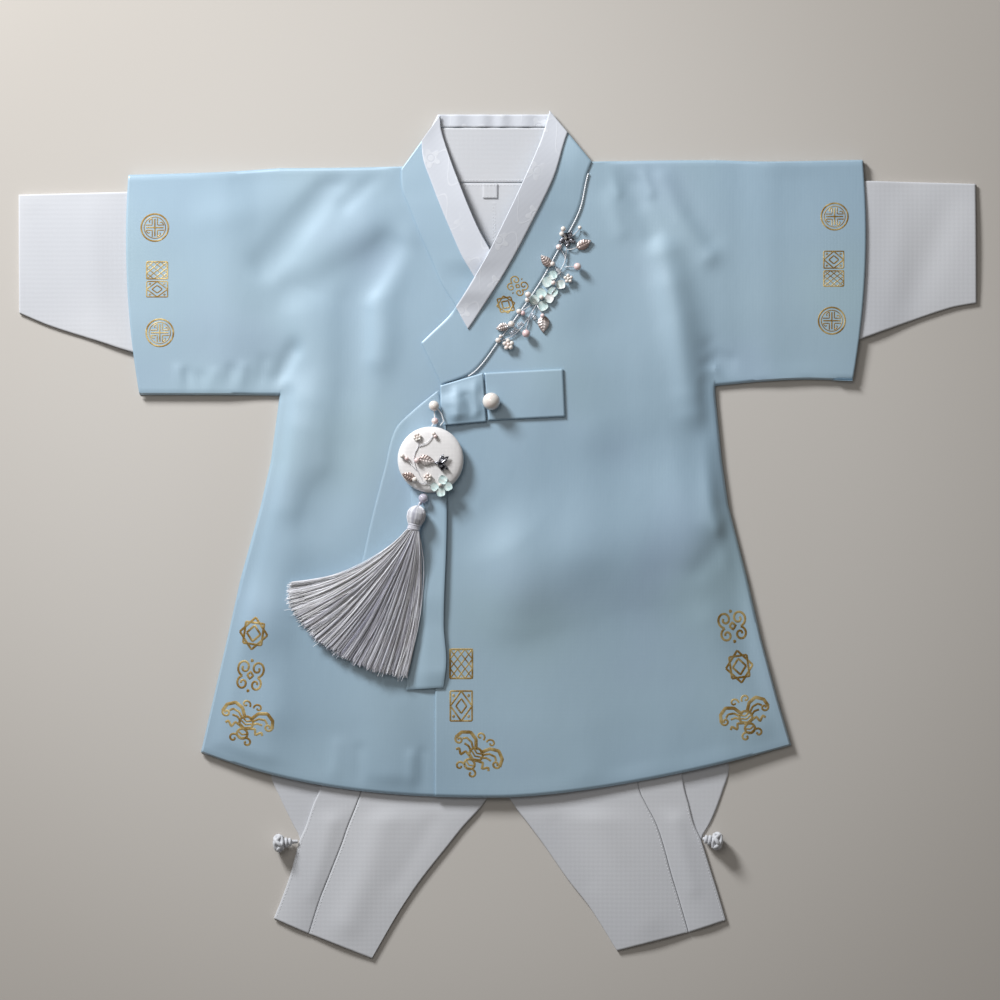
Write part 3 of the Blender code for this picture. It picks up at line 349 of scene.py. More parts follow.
KNOT_RIGHT = line(-7.6, 76.6, -8.8, 93, -9.6, 109.8)
TASSEL_TIPS = line(
    -60.8, -95.5, -73.3, -93.4, -86.7, -90.1, -98.9, -85.3, -110.5, -78.5, -124.1, -68.3, -134.3, -56.1,
    -140.4, -46.1, -141.1, -32.6,
)

# The folds that the solids have too
MAIN_FOLDS = creases(
    (9, -0.9, -110, 241, -160, 185), (6, -0.6, -82, 244, -104, 224), (13, -1, -80, 191, -138, 166),
    (10, 0.9, -84, 157, -82, 120), (6, -0.7, -138, 128, -152, 106), (12, 0.9, -134, 71, -142, 20),
    (16, 0.8, -160, -60, -150, -120), (6, -0.6, 84, 245, 96, 226), (9, -0.9, 111, 244, 142, 200),
    (12, 1.1, 118, 168, 130, 98), (6, -0.7, 144, 128, 156, 112), (8, -0.7, 160, 2, 136, -24),
    (24, -0.9, 70, -38, 122, -92), (20, 0.8, 66, 60, 60, -10), (14, 0.7, 158, -70, 168, -115),
)
# Finer creases, only in the looks
SMALL_CREASES = creases(
    (16, -0.9, -140, 186, -150, 150, -138, 112), (12, 0.35, -124, 232, -196, 214),
    (15, -0.7, -96, 150, -106, 100), (3.2, 0.5, -216, 112, -214, 96), (2.6, -0.4, -202, 108, -200, 95),
    (3, 0.4, -192, 110, -195, 95), (4, -0.5, -158, 118, -163, 98), (5, 0.5, -108, -143, -112, -176),
    (4, -0.5, -94, -146, -95, -176), (3.4, 0.55, -58, -150, -60, -178), (3, -0.5, -51, -148, -50, -178),
    (18, -0.7, -118, 72, -124, 20, -118, -30), (10, 0.3, -64, -118, -58, -150),
    (3.4, 0.5, 76, 246, 82, 232), (4, 0.5, 99, 246, 104, 232), (4, -0.6, 142, 116, 150, 121, 158, 119),
    (2.2, 0.6, 148, 112, 152, 106), (5, 0.6, 156, 14, 150, 4), (18, 0.5, 24, 92, 10, 30, 14, -40),
    (16, -0.6, 104, 60, 112, -20), (20, -0.5, 30, -60, 66, -130), (20, -0.4, 196, 236, 188, 140),
    (14, 0.4, 120, -120, 112, -160),
)

# Broad soft folds, only in the looks, which fade out under the hanging ornament
BROAD_FOLDS = creases(
    (8, -0.8, -114, 238, -156, 179), (17, 1.5, -90, 208, -142, 172, -130, 118, -118, 50),
    (11, -1.7, -72, 196, -98, 158, -97, 118, -88, 66), (10, 0.9, -64, 200, -76, 160, -74, 100),
    (4.5, -0.9, -139, 124, -152, 100), (3, -0.6, -211, 110, -209, 95), (3.6, -0.7, -181, 112, -184, 95),
    (3, 0.5, -172, 114, -175, 95), (18, 1.5, -134, 90, -144, 10, -156, -60),
    (16, -1.6, -98, 52, -124, 10), (24, -0.7, -214, 186, -196, 132), (20, 0.7, -176, 212, -166, 140),
    (22, 1.6, -168, -50, -182, -96, -168, -150), (24, -1.6, -126, -40, -112, -130),
    (18, 1.4, -84, -90, -70, -160), (8, 1.5, 112, 244, 126, 214, 143, 190), (7, -0.8, 92, 236, 104, 204),
    (6, 0.5, 76, 232, 84, 206), (24, -1.4, 62, 130, 84, 60), (11, 2.2, 114, 190, 124, 150, 133, 84),
    (20, 0.8, 40, 180, 70, 80), (24, -0.6, 190, 210, 206, 130), (10, 1.2, 150, 60, 146, 10),
    (44, -2.6, 10, -100, 80, -112, 160, -88), (36, 3.8, 30, -26, 90, -10, 150, 10),
    (15, 1.3, 146, -60, 176, -128), (22, 1.4, 4, 40, 12, -60), (16, 0.8, 60, -136, 64, -166),
)
# Soft folds of the white cloth
WHITE_FOLDS = creases(
    (12, -0.9, -312, 216, -286, 150), (10, 0.7, -276, 222, -264, 142), (12, -0.9, 306, 228, 284, 158),
    (10, 0.7, 274, 230, 262, 150), (12, 1.2, -76, -184, -90, -232, -102, -262),
    (8, -0.6, -44, -196, -66, -236), (6, 0.5, -112, -196, -124, -244),
    (13, 0.9, 64, -184, 80, -230, 100, -262), (8, -0.6, 40, -196, 60, -236),
    (6, 0.5, 122, -194, 132, -240),
)


@dataclass(frozen=True)
class Cloth:
    """Thickness of the cloth and the rules that stack one layer on another."""

    thickness: float = 1.0
    layer: float = 1.3
    armhole_x: float = 148.0
    armpit_left_y: float = 94.5
    armpit_right_y: float = 101.0
    armpit_station: float = 0.6
    hem_low_y: float = -178.5
    hem_corner_left: Place = (-201.6, -147.9)
    hem_corner_right: Place = (199.8, -143.1)
    hem_bend_left: float = 2.5
    hem_bend_right: float = 1.6
    shoulder_left_y: float = 249.0
    shoulder_right_y: float = 254.4
    edge_roll: float = 1.6
    edge_clearance: float = 0.2
    swell: float = 0.8
    swell_reach: float = 55.0
    overlap_full_x: float = 26.0
    overlap_end_x: float = 92.0
    front_edge_x: float = -42.5
    neck_half_width: float = 64.0
    ribbon_clearance: float = 0.2
    sleeve_lift_start_x: float = 160.0
    sleeve_lift_end_x: float = 190.0
    waist_top_y: float = 100.0
    waist_half_width: float = 104.0
    thigh_half_width: float = 158.0
    lift_fade: float = 42.0
    waist_fade: float = 95.0
    trough_limit: float = 2.0
    collar_rise: float = 2.6
    white_drop_start_x: float = 254.0
    white_drop_length: float = 30.0
    ornament_middle: Place = (-35.0, 62.0)

    def hem_y(self, x: Array) -> Array:
        """Height of the curved hem at x."""
        left = np.abs(x / self.hem_corner_left[0]) ** self.hem_bend_left
        right = np.abs(x / self.hem_corner_right[0]) ** self.hem_bend_right
        left_y = self.hem_low_y + (self.hem_corner_left[1] - self.hem_low_y) * left
        right_y = self.hem_low_y + (self.hem_corner_right[1] - self.hem_low_y) * right
        return np.where(x < 0.0, left_y, right_y)

    def shoulder_y(self, x: Array) -> Array:
        """Height of the shoulder line at x."""
        share = smooth((x + self.armhole_x) / (2.0 * self.armhole_x))
        return mix(self.shoulder_left_y, self.shoulder_right_y, share)

    def armpit_y(self, x: Array) -> Array:
        """Height of the armpit on the side of x."""
        return np.where(x < 0.0, self.armpit_left_y, self.armpit_right_y)

    def sleeve_edges(self, x: Array) -> tuple[Array, Array]:
        """Lower and upper edge of the blue sleeve at x."""
        edges = []
        for side in ("left", "right"):
            strip_edges = (BLUE_SLEEVE[side].inner, BLUE_SLEEVE[side].outer)
            lower, upper = (np.array(edge.points[::-1]) for edge in strip_edges)
            marks = np.abs(upper[:, 0])
            edges.append([np.interp(np.abs(x), marks, edge[:, 1]) for edge in (lower, upper)])
        (left_low, left_high), (right_low, right_high) = edges
        return np.where(x < 0.0, left_low, right_low), np.where(x < 0.0, left_high, right_high)

    def inset(self, x: Array, y: Array) -> Array:
        """How far these places lie inside the jacket's outline, cuffs left out."""
        low, high = self.sleeve_edges(x)
        sleeve = np.minimum(y - low, high - y)
        armpit = self.armpit_y(x)
        ys, lefts, rights = SIDES
        left, right = x - np.interp(y, ys, lefts), np.interp(y, ys, rights) - x
        above = np.hypot(self.armhole_x - np.abs(x), y - armpit)
        side = np.where(y < armpit, np.minimum(left, right), above)
        body = np.minimum(side, np.minimum(y - self.hem_y(x), self.shoulder_y(x) - y))
        return np.where((np.abs(x) > self.armhole_x) & (y >= low), sleeve, body)

    def lift(self, x: Array, y: Array, *shares: Array) -> Array:
        """Height of the hidden trousers that the jacket lies on."""
        share = np.clip((self.waist_top_y - y) / (self.waist_top_y - self.hem_low_y), 0.0, 1.0)
        half = mix(self.waist_half_width + 4.0, self.thigh_half_width, share)
        across = 1.0 - smooth((np.abs(x) - half) / self.lift_fade)
        along = 1.0 - smooth((y - self.waist_top_y - 4.0) / self.waist_fade)
        return 2.0 * self.layer * across * along

    def neck_share(self, x: Array, y: Array) -> Array:
        """1 where the collar holds the layers up round the neck."""
        across = 1.0 - smooth((np.abs(x) - self.neck_half_width - 4.0) / 22.0)
        return smooth((y - 222.0) / 18.0) * across

    def folds(self, x: Array, y: Array) -> Array:
        """Sum of the soft troughs and ridges."""
        away = np.hypot(x - self.ornament_middle[0], y - self.ornament_middle[1])
        free = smooth((away - 50.0) / 36.0)
        total = folds_of(MAIN_FOLDS + SMALL_CREASES, x, y) + free * folds_of(BROAD_FOLDS, x, y)
        held = -self.trough_limit * (1.0 - np.exp(np.minimum(total, 0.0) / self.trough_limit))
        return np.where(total < 0.0, held, total)

    def under_front(self, x: Array, y: Array, *shares: Array) -> Array:
        """Underside of the under front and of the blue sleeves' fronts."""
        depth = self.inset(x, y)
        neck = self.neck_share(x, y)
        held = np.maximum(smooth(depth / self.edge_roll), neck)
        reach = self.sleeve_lift_end_x - self.sleeve_lift_start_x
        sleeve = smooth((np.abs(x) - self.sleeve_lift_start_x) / reach)
        soft = self.swell * smooth(depth / self.swell_reach)
        soft = soft + self.folds(x, y) * smooth(depth / 14.0)
        raised = mix(self.edge_clearance, self.layer * (1.0 + sleeve), held)
        return self.lift(x, y) + self.layer + raised + soft * (1.0 - neck)

    def overlap(self, x: Array) -> Array:
        """1 where the over front lies on the under front."""
        reach = self.overlap_end_x - self.overlap_full_x
        return 1.0 - smooth((x - self.overlap_full_x) / reach)

    def over_front(self, x: Array, y: Array, *shares: Array) -> Array:
        """Underside of the over front."""
        return self.under_front(x, y) + self.layer * self.overlap(x)

    def ribbon_bed(self, x: Array, y: Array, *shares: Array) -> Array:
        """What a ribbon lies on."""
        step = smooth((x - self.front_edge_x + 20.0) / 16.0)
        bed = self.under_front(x, y) + self.layer + self.ribbon_clearance
        return bed + self.layer * self.overlap(x) * step

    def ornament_bed(self, x: Array, y: Array) -> Array:
        """What the hanging ornament lies on."""
        step = smooth((x + 138.0) / 26.0)
        return self.under_front(x, y) + self.layer + 3.0 * self.layer * step

    def neck_fade(self, y: Array, start: float) -> Array:
        """1 from a little above this height, and fading out towards the back of the neck."""
        return smooth((y - start) / 16.0) * (1.0 - smooth((y - 226.0) / 56.0))

    def collar_lean(self, y: Array, s: Array, start: float) -> Array:
        """How far a collar stands up towards its neck edge, from this height on."""
        return self.collar_rise * (1.0 - s) * self.neck_fade(y, start)

    def under_collar(self, x: Array, y: Array, s: Array, t: Array) -> Array:
        """Underside of the under collar."""
        return self.under_front(x, y) + self.layer * smooth(s / 0.55) + self.collar_lean(y, s, 172.0)

    def over_collar(self, x: Array, y: Array, s: Array, t: Array) -> Array:
        """Underside of the over collar, which crosses the under one."""
        crossing = 3.0 * self.layer * smooth(t / 0.3) - self.layer * smooth((t - 0.74) / 0.16)
        outer = self.layer + self.layer * self.overlap(x)
        level = self.under_front(x, y) + self.collar_lean(y, s, 150.0)
        return level + mix(crossing, outer, 0.5 * smooth(s / 0.8) + 0.5 * s)


CLOTH = Cloth()


# Shader graphs written as expressions


class Signal:
    """A shader socket that stands in Python arithmetic and adds the Math nodes it needs."""

    def __init__(self, graph: "Graph", socket: Socket) -> None:
        """Wraps one output socket of a graph."""
        self.graph, self.socket = graph, socket

    def __add__(self, other: "Signal | float") -> "Signal":
        """Sum."""
        return self.graph.math("ADD", self, other)

    def __radd__(self, other: float) -> "Signal":
        """Sum with a number on the left."""
        return self.graph.math("ADD", other, self)

    def __sub__(self, other: "Signal | float") -> "Signal":
        """Difference."""
        return self.graph.math("SUBTRACT", self, other)

    def __rsub__(self, other: float) -> "Signal":
        """Difference with a number on the left."""
        return self.graph.math("SUBTRACT", other, self)

    def __mul__(self, other: "Signal | float") -> "Signal":
        """Product."""
        return self.graph.math("MULTIPLY", self, other)

    def __rmul__(self, other: float) -> "Signal":
        """Product with a number on the left."""
        return self.graph.math("MULTIPLY", other, self)


class Tree:
    """A node tree that is built one node at a time."""

    tree: NodeTree

    def feed(self, socket: Socket, value: object) -> None:
        """Links a signal or a socket to an input, or sets the input's own value."""
        value = value.socket if isinstance(value, Signal) else value
        if isinstance(value, Socket):
            self.tree.links.new(value, socket)
        else:
            socket.default_value = value

    def node(self, kind: str, settings: dict | None = None, **values: object) -> bpy.types.Node:
        """Adds a node.

        Args:
            kind: the node's type.
            settings: its properties, which are set before any socket.
            values: its inputs by name, an underscore standing for a space.

        Returns:
            The node.
        """
        made = self.tree.nodes.new(kind)
        for key, value in (settings or {}).items():
            setattr(made, key, value)
        for key, value in values.items():
            self.feed(made.inputs[key.replace("_", " ")], value)
        return made


class Graph(Tree):
    """The node tree of one material, with a Principled shader at its end."""

    def __init__(self, name: str) -> None:
        """Makes an empty material of this name."""
        self.material = bpy.data.materials.new(name)
        self.material.use_nodes = True
        self.tree = self.material.node_tree
        self.shader = self.tree.nodes["Principled BSDF"]

    def signal(self, output: str | int, kind: str, settings: dict | None = None, **values: object) -> Signal:
        """Adds a node and gives one of its outputs."""
        return Signal(self, self.node(kind, settings, **values).outputs[output])

    def math(self, operation: str, *values: "Signal | float") -> Signal:
        """Adds a Math node."""
        made = self.node("ShaderNodeMath", {"operation": operation})
        for socket, value in zip(made.inputs, values):
            self.feed(socket, value)
        return Signal(self, made.outputs[0])

    def place(self, scale: tuple[float, float, float] = (1.0, 1.0, 1.0), turn: float = 0.0) -> Signal:
        """Object coordinates in metres, turned about Z and then scaled."""
        source = self.signal("Object", "ShaderNodeTexCoord")
        return self.signal(0, "ShaderNodeMapping", Vector=source, Rotation=(0.0, 0.0, turn), Scale=scale)

    def axes(self, place: Signal) -> tuple[Signal, Signal]:
        """The x and y of a vector."""
        parts = self.node("ShaderNodeSeparateXYZ", None, Vector=place)
        return Signal(self, parts.outputs[0]), Signal(self, parts.outputs[1])

    def noise(self, place: Signal, scale: float, detail: float = 2.0, rough: float = 0.5) -> Signal:
        """Cloudy noise from 0 to 1."""
        return self.signal("Fac", "ShaderNodeTexNoise", None,
                           Vector=place, Scale=scale, Detail=detail, Roughness=rough)

    def wave(self, place: Signal, scale: float, direction: str, bend: float = 0.0) -> Signal:
        """Even ridges along one axis, from 0 to 1."""
        settings = {"wave_type": "BANDS", "bands_direction": direction, "wave_profile": "SIN"}
        return self.signal("Fac", "ShaderNodeTexWave", settings, Vector=place, Scale=scale, Distortion=bend)

    def weave(self, place: Signal, thread: float, bend: float, slack: float = 1.0) -> tuple[Signal, Signal]:
        """Ridges of warp and weft, threads this many metres wide, the weft's being slack times as wide."""
        scale = 1.0 / thread / RIDGES
        return self.wave(place, scale, "X", bend), self.wave(place, scale / slack, "Y", bend)

    def ramp(self, value: Signal, low: float, high: float) -> Signal:
        """0 below low, 1 above high and a smooth step between them."""
        settings = {"interpolation_type": "SMOOTHSTEP"}
        return self.signal(0, "ShaderNodeMapRange", settings, Value=value, From_Min=low, From_Max=high)

    def blend(self, first: object, second: object, share: Signal | float) -> Signal:
        """A colour this share of the way from the first to the second."""
        made = self.node("ShaderNodeMix", {"data_type": "RGBA"})
        for index, value in ((0, share), (6, first), (7, second)):
            self.feed(made.inputs[index], value)
        return Signal(self, made.outputs[2])

    def bump(self, height: Signal, strength: float, distance: float) -> Signal:
        """A normal from a height between 0 and 1, distance being its full depth in metres."""
        return self.signal(0, "ShaderNodeBump", None, Height=height, Strength=strength, Distance=distance)

    def dress(self, **values: object) -> Material:
        """Sets or links the shader's sockets, an underscore standing for a space."""
        for key, value in values.items():
            self.feed(self.shader.inputs[key.replace("_", " ")], value)
        return self.material


def linear(*display: int) -> Colour:
    """A colour given in display values from 0 to 255, as linear light."""
    shares = (value / 255.0 for value in display)
    return (*(s / 12.92 if s <= 0.04045 else ((s + 0.055) / 1.055) ** 2.4 for s in shares), 1.0)


@dataclass(frozen=True)
class Satin:
    """Blue satin: long floats of warp over a soft body, slightly shot with other tints."""

    name: str = "blue_satin"
    body: Colour = linear(150, 179, 199)
    pale: Colour = linear(167, 193, 207)
    violet: Colour = linear(152, 168, 200)
    green: Colour = linear(160, 190, 190)
    rough: float = 0.5
    thread: float = 0.00035

    def make(self) -> Material:
        """Builds the material."""
        graph = Graph(self.name)
        place = graph.place()
        broad = graph.ramp(graph.noise(place, 5.0, 1.0), 0.36, 0.68)
        tint = graph.blend(self.body, self.pale, broad * 0.5)
        tint = graph.blend(tint, self.violet, graph.ramp(graph.noise(place, 13.0, 1.0), 0.5, 0.85) * 0.22)
        tint = graph.blend(tint, self.green, graph.ramp(graph.noise(place, 9.0, 0.0), 0.55, 0.85) * 0.25)
        slub = graph.noise(graph.place((1600.0, 60.0, 1600.0)), 1.0, 2.0)
        tint = graph.blend(tint, self.pale, graph.ramp(slub, 0.5, 0.9) * 0.2)
        warp, weft = graph.weave(place, self.thread, 0.6, 1.3)
        height = warp * 0.6 + weft * 0.25 + slub * 0.4
        wavy = graph.noise(graph.place((1.0, 0.45, 1.0), 0.3), 70.0, 2.0)
        return graph.dress(
            Base_Color=tint, Roughness=self.rough + 0.1 * slub, Metallic=0.14, Specular_IOR_Level=1.0,
            Coat_Weight=0.55, Coat_IOR=1.9, Coat_Roughness=0.46, Sheen_Weight=0.3, Sheen_Roughness=0.35,
            Sheen_Tint=linear(214, 230, 240), Normal=graph.bump(height + wavy * 9.0, 0.25, 0.00006),
        )


@dataclass(frozen=True)
class PlainCloth:
    """White plain-woven cloth with a fine, slightly uneven thread."""

    name: str = "white_cloth"
    body: Colour = linear(208, 209, 213)
    shade: Colour = linear(192, 194, 200)
    rough: float = 0.78
    thread: float = 0.0005

    def make(self) -> Material:
        """Builds the material."""
        graph = Graph(self.name)
        place = graph.place()
        broad = graph.ramp(graph.noise(place, 9.0, 2.0), 0.35, 0.7)
        tint = graph.blend(self.body, self.shade, broad * 0.5)
        warp, weft = graph.weave(place, self.thread, 0.4)
        fibre = graph.noise(place, 1800.0, 3.0, 0.7)
        tint = graph.blend(tint, self.shade, graph.ramp(fibre, 0.45, 0.8) * 0.4)
        return graph.dress(
            Base_Color=tint, Roughness=self.rough, Specular_IOR_Level=0.3, Sheen_Weight=0.25,
            Sheen_Roughness=0.5, Normal=graph.bump(warp * 0.4 + weft * 0.4 + fibre * 0.5, 0.35, 0.00012),
        )


@dataclass(frozen=True)
class Brocade:
    """White silk with woven flowers and vines in its own tone."""

    name: str = "white_brocade"
    body: Colour = linear(206, 209, 217)
    raised: Colour = linear(228, 230, 235)
    repeat: float = 0.027
    petals: float = 5.0
    turn: float = 0.5
    rough: float = 0.62

    def make(self) -> Material:
        """Builds the material."""
        graph = Graph(self.name)
        x, y = graph.axes(graph.place((1.0 / self.repeat,) * 3, self.turn))
        row = graph.math("FLOOR", y)
        aside = x + 0.5 * graph.math("PINGPONG", row, 1.0)
        u = graph.math("FRACT", aside) - 0.5
        v = graph.math("FRACT", y) - 0.5
        reach = graph.math("SQRT", u * u + v * v)
        angle = graph.math("ARCTAN2", v, u)
        petal = graph.math("COSINE", angle * self.petals)
        flower = graph.ramp(0.2 + 0.06 * petal - reach, -0.008, 0.012)
        heart = graph.ramp(graph.math("ABSOLUTE", reach - 0.09), 0.008, 0.024)
        vein = graph.ramp(graph.math("ABSOLUTE", petal), 0.0, 0.14)
        vine_line = graph.math("ABSOLUTE", v - 0.36 * graph.math("SINE", TURN * u))
        vine = 1.0 - graph.ramp(vine_line, 0.018, 0.034)
        show = graph.ramp(graph.noise(graph.place(), 26.0, 0.0), 0.42, 0.56)
        figure = graph.math("MAXIMUM", flower * heart * vein, vine * 0.7) * show
        twill = graph.wave(graph.place((1.0, 1.0, 1.0), 0.8), 100.0, "X", 0.3)
        tint = graph.blend(self.body, self.raised, figure * 0.5)
        return graph.dress(
            Base_Color=tint, Roughness=self.rough - 0.26 * figure, Specular_IOR_Level=0.5,
            Sheen_Weight=0.3, Normal=graph.bump(figure + twill * 0.2, 0.4, 0.00012),
        )


@dataclass(frozen=True)
class Silk:
    """Smooth white silk drawn over a pad."""

    name: str = "disc_silk"
    body: Colour = linear(240, 237, 236)
    shade: Colour = linear(226, 223, 223)
    thread: float = 0.0004

    def make(self) -> Material:
        """Builds the material."""
        graph = Graph(self.name)
        place = graph.place()
        warp, weft = graph.weave(place, self.thread, 0.5)
        tint = graph.blend(self.body, self.shade, graph.noise(place, 300.0, 3.0))
        return graph.dress(
            Base_Color=tint, Roughness=0.55 + 0.1 * warp, Sheen_Weight=0.3,
            Normal=graph.bump(warp * 0.5 + weft * 0.5, 0.4, 0.00008),
        )


@dataclass(frozen=True)
class Thread:
    """Silk thread whose tone changes from one thread to the next, with painted shadow and painted light
    across the tassel's fan.
    """

    name: str = "tassel_thread"
    dark: Colour = linear(151, 150, 169)
    light: Colour = linear(252, 252, 255)
    warm: Colour = linear(180, 172, 173)
    plain: bool = False

    def make(self) -> Material:
        """Builds the material."""
        graph = Graph(self.name)
        place = graph.place()
        if self.plain:
            tone = graph.noise(graph.place((900.0, 160.0, 900.0)), 1.0, 2.0)
        else:
            settings = {"attribute_type": "GEOMETRY", "attribute_name": "shade"}
            # the shade attribute holds each thread's tone together with painted shadow and painted light
            # from the fan
            tone = graph.signal("Fac", "ShaderNodeAttribute", settings)
        tint = graph.blend(self.dark, self.light, tone)
        tint = graph.blend(tint, self.warm, graph.ramp(graph.noise(place, 60.0, 1.0), 0.5, 0.8) * 0.3)
        return graph.dress(
            Base_Color=tint, Roughness=0.38 + 0.16 * tone, Specular_IOR_Level=0.8, Sheen_Weight=0.5,
            Normal=graph.bump(graph.noise(place, 2400.0, 2.0), 0.2, 0.00004),
        )


@dataclass(frozen=True)
class TwistedCord:
    """Shiny white cord with fine fibres along its plies."""

    name: str = "piping_cord"
    body: Colour = linear(246, 248, 250)
    shade: Colour = linear(214, 219, 227)
    rough: float = 0.34

    def make(self) -> Material:
        """Builds the material."""
        graph = Graph(self.name)
        fibre = graph.noise(graph.place((1.0, 1.0, 1.0), 0.6), 2600.0, 3.0, 0.7)
        return graph.dress(
            Base_Color=graph.blend(self.shade, self.body, graph.ramp(fibre, 0.25, 0.6)),
            Roughness=self.rough + 0.12 * fibre, Specular_IOR_Level=0.7,
            Normal=graph.bump(fibre, 0.3, 0.00005),
        )


@dataclass(frozen=True)
class Lustre:
    """Pearl and other lustrous beads and petals: a soft body under a clear coat."""

    name: str
    body: Colour
    blush: Colour
    rough: float = 0.2
    coat: float = 1.0
    cloud: float = 260.0
    clear: float = 0.0

    def make(self) -> Material:
        """Builds the material."""
        graph = Graph(self.name)
        place = graph.place()
        cloud = graph.ramp(graph.noise(place, self.cloud, 1.0), 0.35, 0.7)
        return graph.dress(
            Base_Color=graph.blend(self.body, self.blush, cloud), Roughness=self.rough + 0.08 * cloud,
            Specular_IOR_Level=0.7, Transmission_Weight=self.clear, Coat_Weight=self.coat,
            Coat_Roughness=0.06, Coat_Tint=(1.0, 0.98, 0.97, 1.0),
            Normal=graph.bump(graph.noise(place, 900.0, 2.0), 0.08, 0.00005),
        )


@dataclass(frozen=True)
class Stamped:
    """Thin stamped metal whose plating changes tone from place to place."""

    name: str
    light: Colour
    dark: Colour
    rough: float = 0.28
    cloud: float = 120.0
    shine: float = 0.85

    def make(self) -> Material:
        """Builds the material."""
        graph = Graph(self.name)
        place = graph.place()
        cloud = graph.ramp(graph.noise(place, self.cloud, 1.0), 0.35, 0.65)
        grain = graph.noise(place, 2200.0, 2.0)
        return graph.dress(
            Base_Color=graph.blend(self.light, self.dark, cloud), Roughness=self.rough + 0.14 * grain,
            Metallic=self.shine, Normal=graph.bump(grain, 0.25, 0.00006),
        )


@dataclass(frozen=True)
class GoldFoil:
    """Printed gold foil, thin and a little worn."""

    name: str = "gold_foil"
    light: Colour = linear(232, 206, 142)
    dark: Colour = linear(160, 124, 56)
    worn: Colour = linear(150, 150, 130)

    def make(self) -> Material:
        """Builds the material."""
        graph = Graph(self.name)
        place = graph.place()
        tone = graph.ramp(graph.noise(place, 110.0, 2.0), 0.35, 0.68)
        grain = graph.noise(place, 1500.0, 3.0, 0.7)
        wear = graph.ramp(grain, 0.5, 0.68)
        tint = graph.blend(self.dark, self.light, tone)
        return graph.dress(
            Base_Color=graph.blend(tint, self.worn, wear * 0.6), Roughness=0.34 + 0.3 * wear,
            Metallic=0.7 - 0.4 * wear, Normal=graph.bump(grain, 0.35, 0.00008),
        )


# Small solids


def rod_faces(count: int, sides: int) -> list[list[int]]:
    """Outward faces of a capped rod whose rings turn right-handed about its run."""
    grid = np.arange(count * sides).reshape(count, sides)
    after = np.roll(grid, -1, axis=1)
    quads = np.stack((grid[:-1], after[:-1], after[1:], grid[1:]), axis=-1).reshape(-1, 4)
    return [*quads.tolist(), grid[0, ::-1].tolist(), grid[-1].tolist()]


def tube(path: Array, radius: float | Array, sides: int = 6) -> Body:
    """A closed round rod along a path.

    Args:
        path: its points, one row each.
        radius: one radius, or one for each point.
        sides: number of its sides.

    Returns:
        Points and outward faces.
    """
    path = np.asarray(path, float)
    run = np.gradient(path, axis=0)
    run /= np.linalg.norm(run, axis=1, keepdims=True)
    start = np.array([0.0, 0.0, 1.0]) if abs(run[0][2]) < 0.9 else np.array([1.0, 0.0, 0.0])
    aside = np.cross(run[0], start)
    sideways = []
    for step in run:
        aside = aside - step * (aside @ step)
        aside = aside / np.linalg.norm(aside)
        sideways.append(aside)
    side = np.array(sideways)
    rise = np.cross(run, side)
    angle = TURN * np.arange(sides) / sides
    reach = np.broadcast_to(radius, len(path))[:, None, None]
    ring = np.cos(angle)[None, :, None] * side[:, None, :] + np.sin(angle)[None, :, None] * rise[:, None, :]
    points = (path[:, None, :] + reach * ring).reshape(-1, 3)
    return points, rod_faces(len(path), sides)


def turned(profile: Sequence[tuple[float, float]], sides: int = 12) -> Body:
    """A closed solid turned about Z.

    Args:
        profile: radius and height of each ring, from the top down, its ends being poles.
        sides: number of its sides.

    Returns:
        Points and outward faces.
    """
    angle = TURN * np.arange(sides) / sides
    circle = np.cos(angle), np.sin(angle)
    rings = [np.stack((r * circle[0], r * circle[1], np.full(sides, z)), axis=-1) for r, z in profile[1:-1]]
    points = np.concatenate(([[0.0, 0.0, profile[0][1]]], *rings, [[0.0, 0.0, profile[-1][1]]]))
    grid = 1 + np.arange(len(rings) * sides).reshape(len(rings), sides)
    after = np.roll(grid, -1, axis=1)
    quads = np.stack((grid[:-1], grid[1:], after[1:], after[:-1]), axis=-1).reshape(-1, 4)
    foot = len(points) - 1
    top = [(0, low, high) for low, high in zip(grid[0].tolist(), after[0].tolist())]
    base = [(foot, high, low) for low, high in zip(grid[-1].tolist(), after[-1].tolist())]
    return points, [*quads.tolist(), *top, *base]


def ball(centre: Sequence[float], radius: float, rings: int = 8, sides: int = 14) -> Body:
    """A round ball."""
    turn = math.pi * np.arange(rings + 1) / rings
    points, faces = turned([(radius * math.sin(a), radius * math.cos(a)) for a in turn], sides)
    return points + np.asarray(centre), faces


def sheet_faces(rows: int, columns: int, turns_left: bool) -> Array:
    """Outward faces of a closed sheet whose lower grid of points comes before its upper one."""
    grid = np.arange(rows * columns).reshape(rows, columns)
    quads = np.stack((grid[:-1, :-1], grid[:-1, 1:], grid[1:, 1:], grid[1:, :-1]), axis=-1).reshape(-1, 4)
    ring = np.concatenate((grid[0, :-1], grid[:-1, -1], grid[-1, :0:-1], grid[:0:-1, 0]))
    after = np.roll(ring, -1)
    shift = rows * columns
    side = np.stack((ring, after, after + shift, ring + shift), axis=-1)
    if turns_left:
        return np.concatenate((quads[:, ::-1], quads + shift, side))
    return np.concatenate((quads, quads[:, ::-1] + shift, side[:, ::-1]))


def sheet(x: Array, y: Array, low: Array, top: Array, turns_left: bool) -> Body:
    """Points and outward faces of a thin closed sheet, from the grids of its two sides."""
    points = np.concatenate([np.stack((x, y, z), axis=-1).reshape(-1, 3) for z in (low, top)])
    return points, sheet_faces(*x.shape, turns_left)


def turned_place(x: float, y: float, u: Array, v: Array, turn: float) -> tuple[Array, Array]:
    """Places that lie at u and v from a middle, turned by this many degrees."""
    angle = math.radians(turn)
    return x + u * math.cos(angle) - v * math.sin(angle), y + u * math.sin(angle) + v * math.cos(angle)


def linked(name: str, data: bpy.types.ID) -> Object:
    """A new object in the scene."""
    made = bpy.data.objects.new(name, data)
    bpy.context.scene.collection.objects.link(made)
    return made


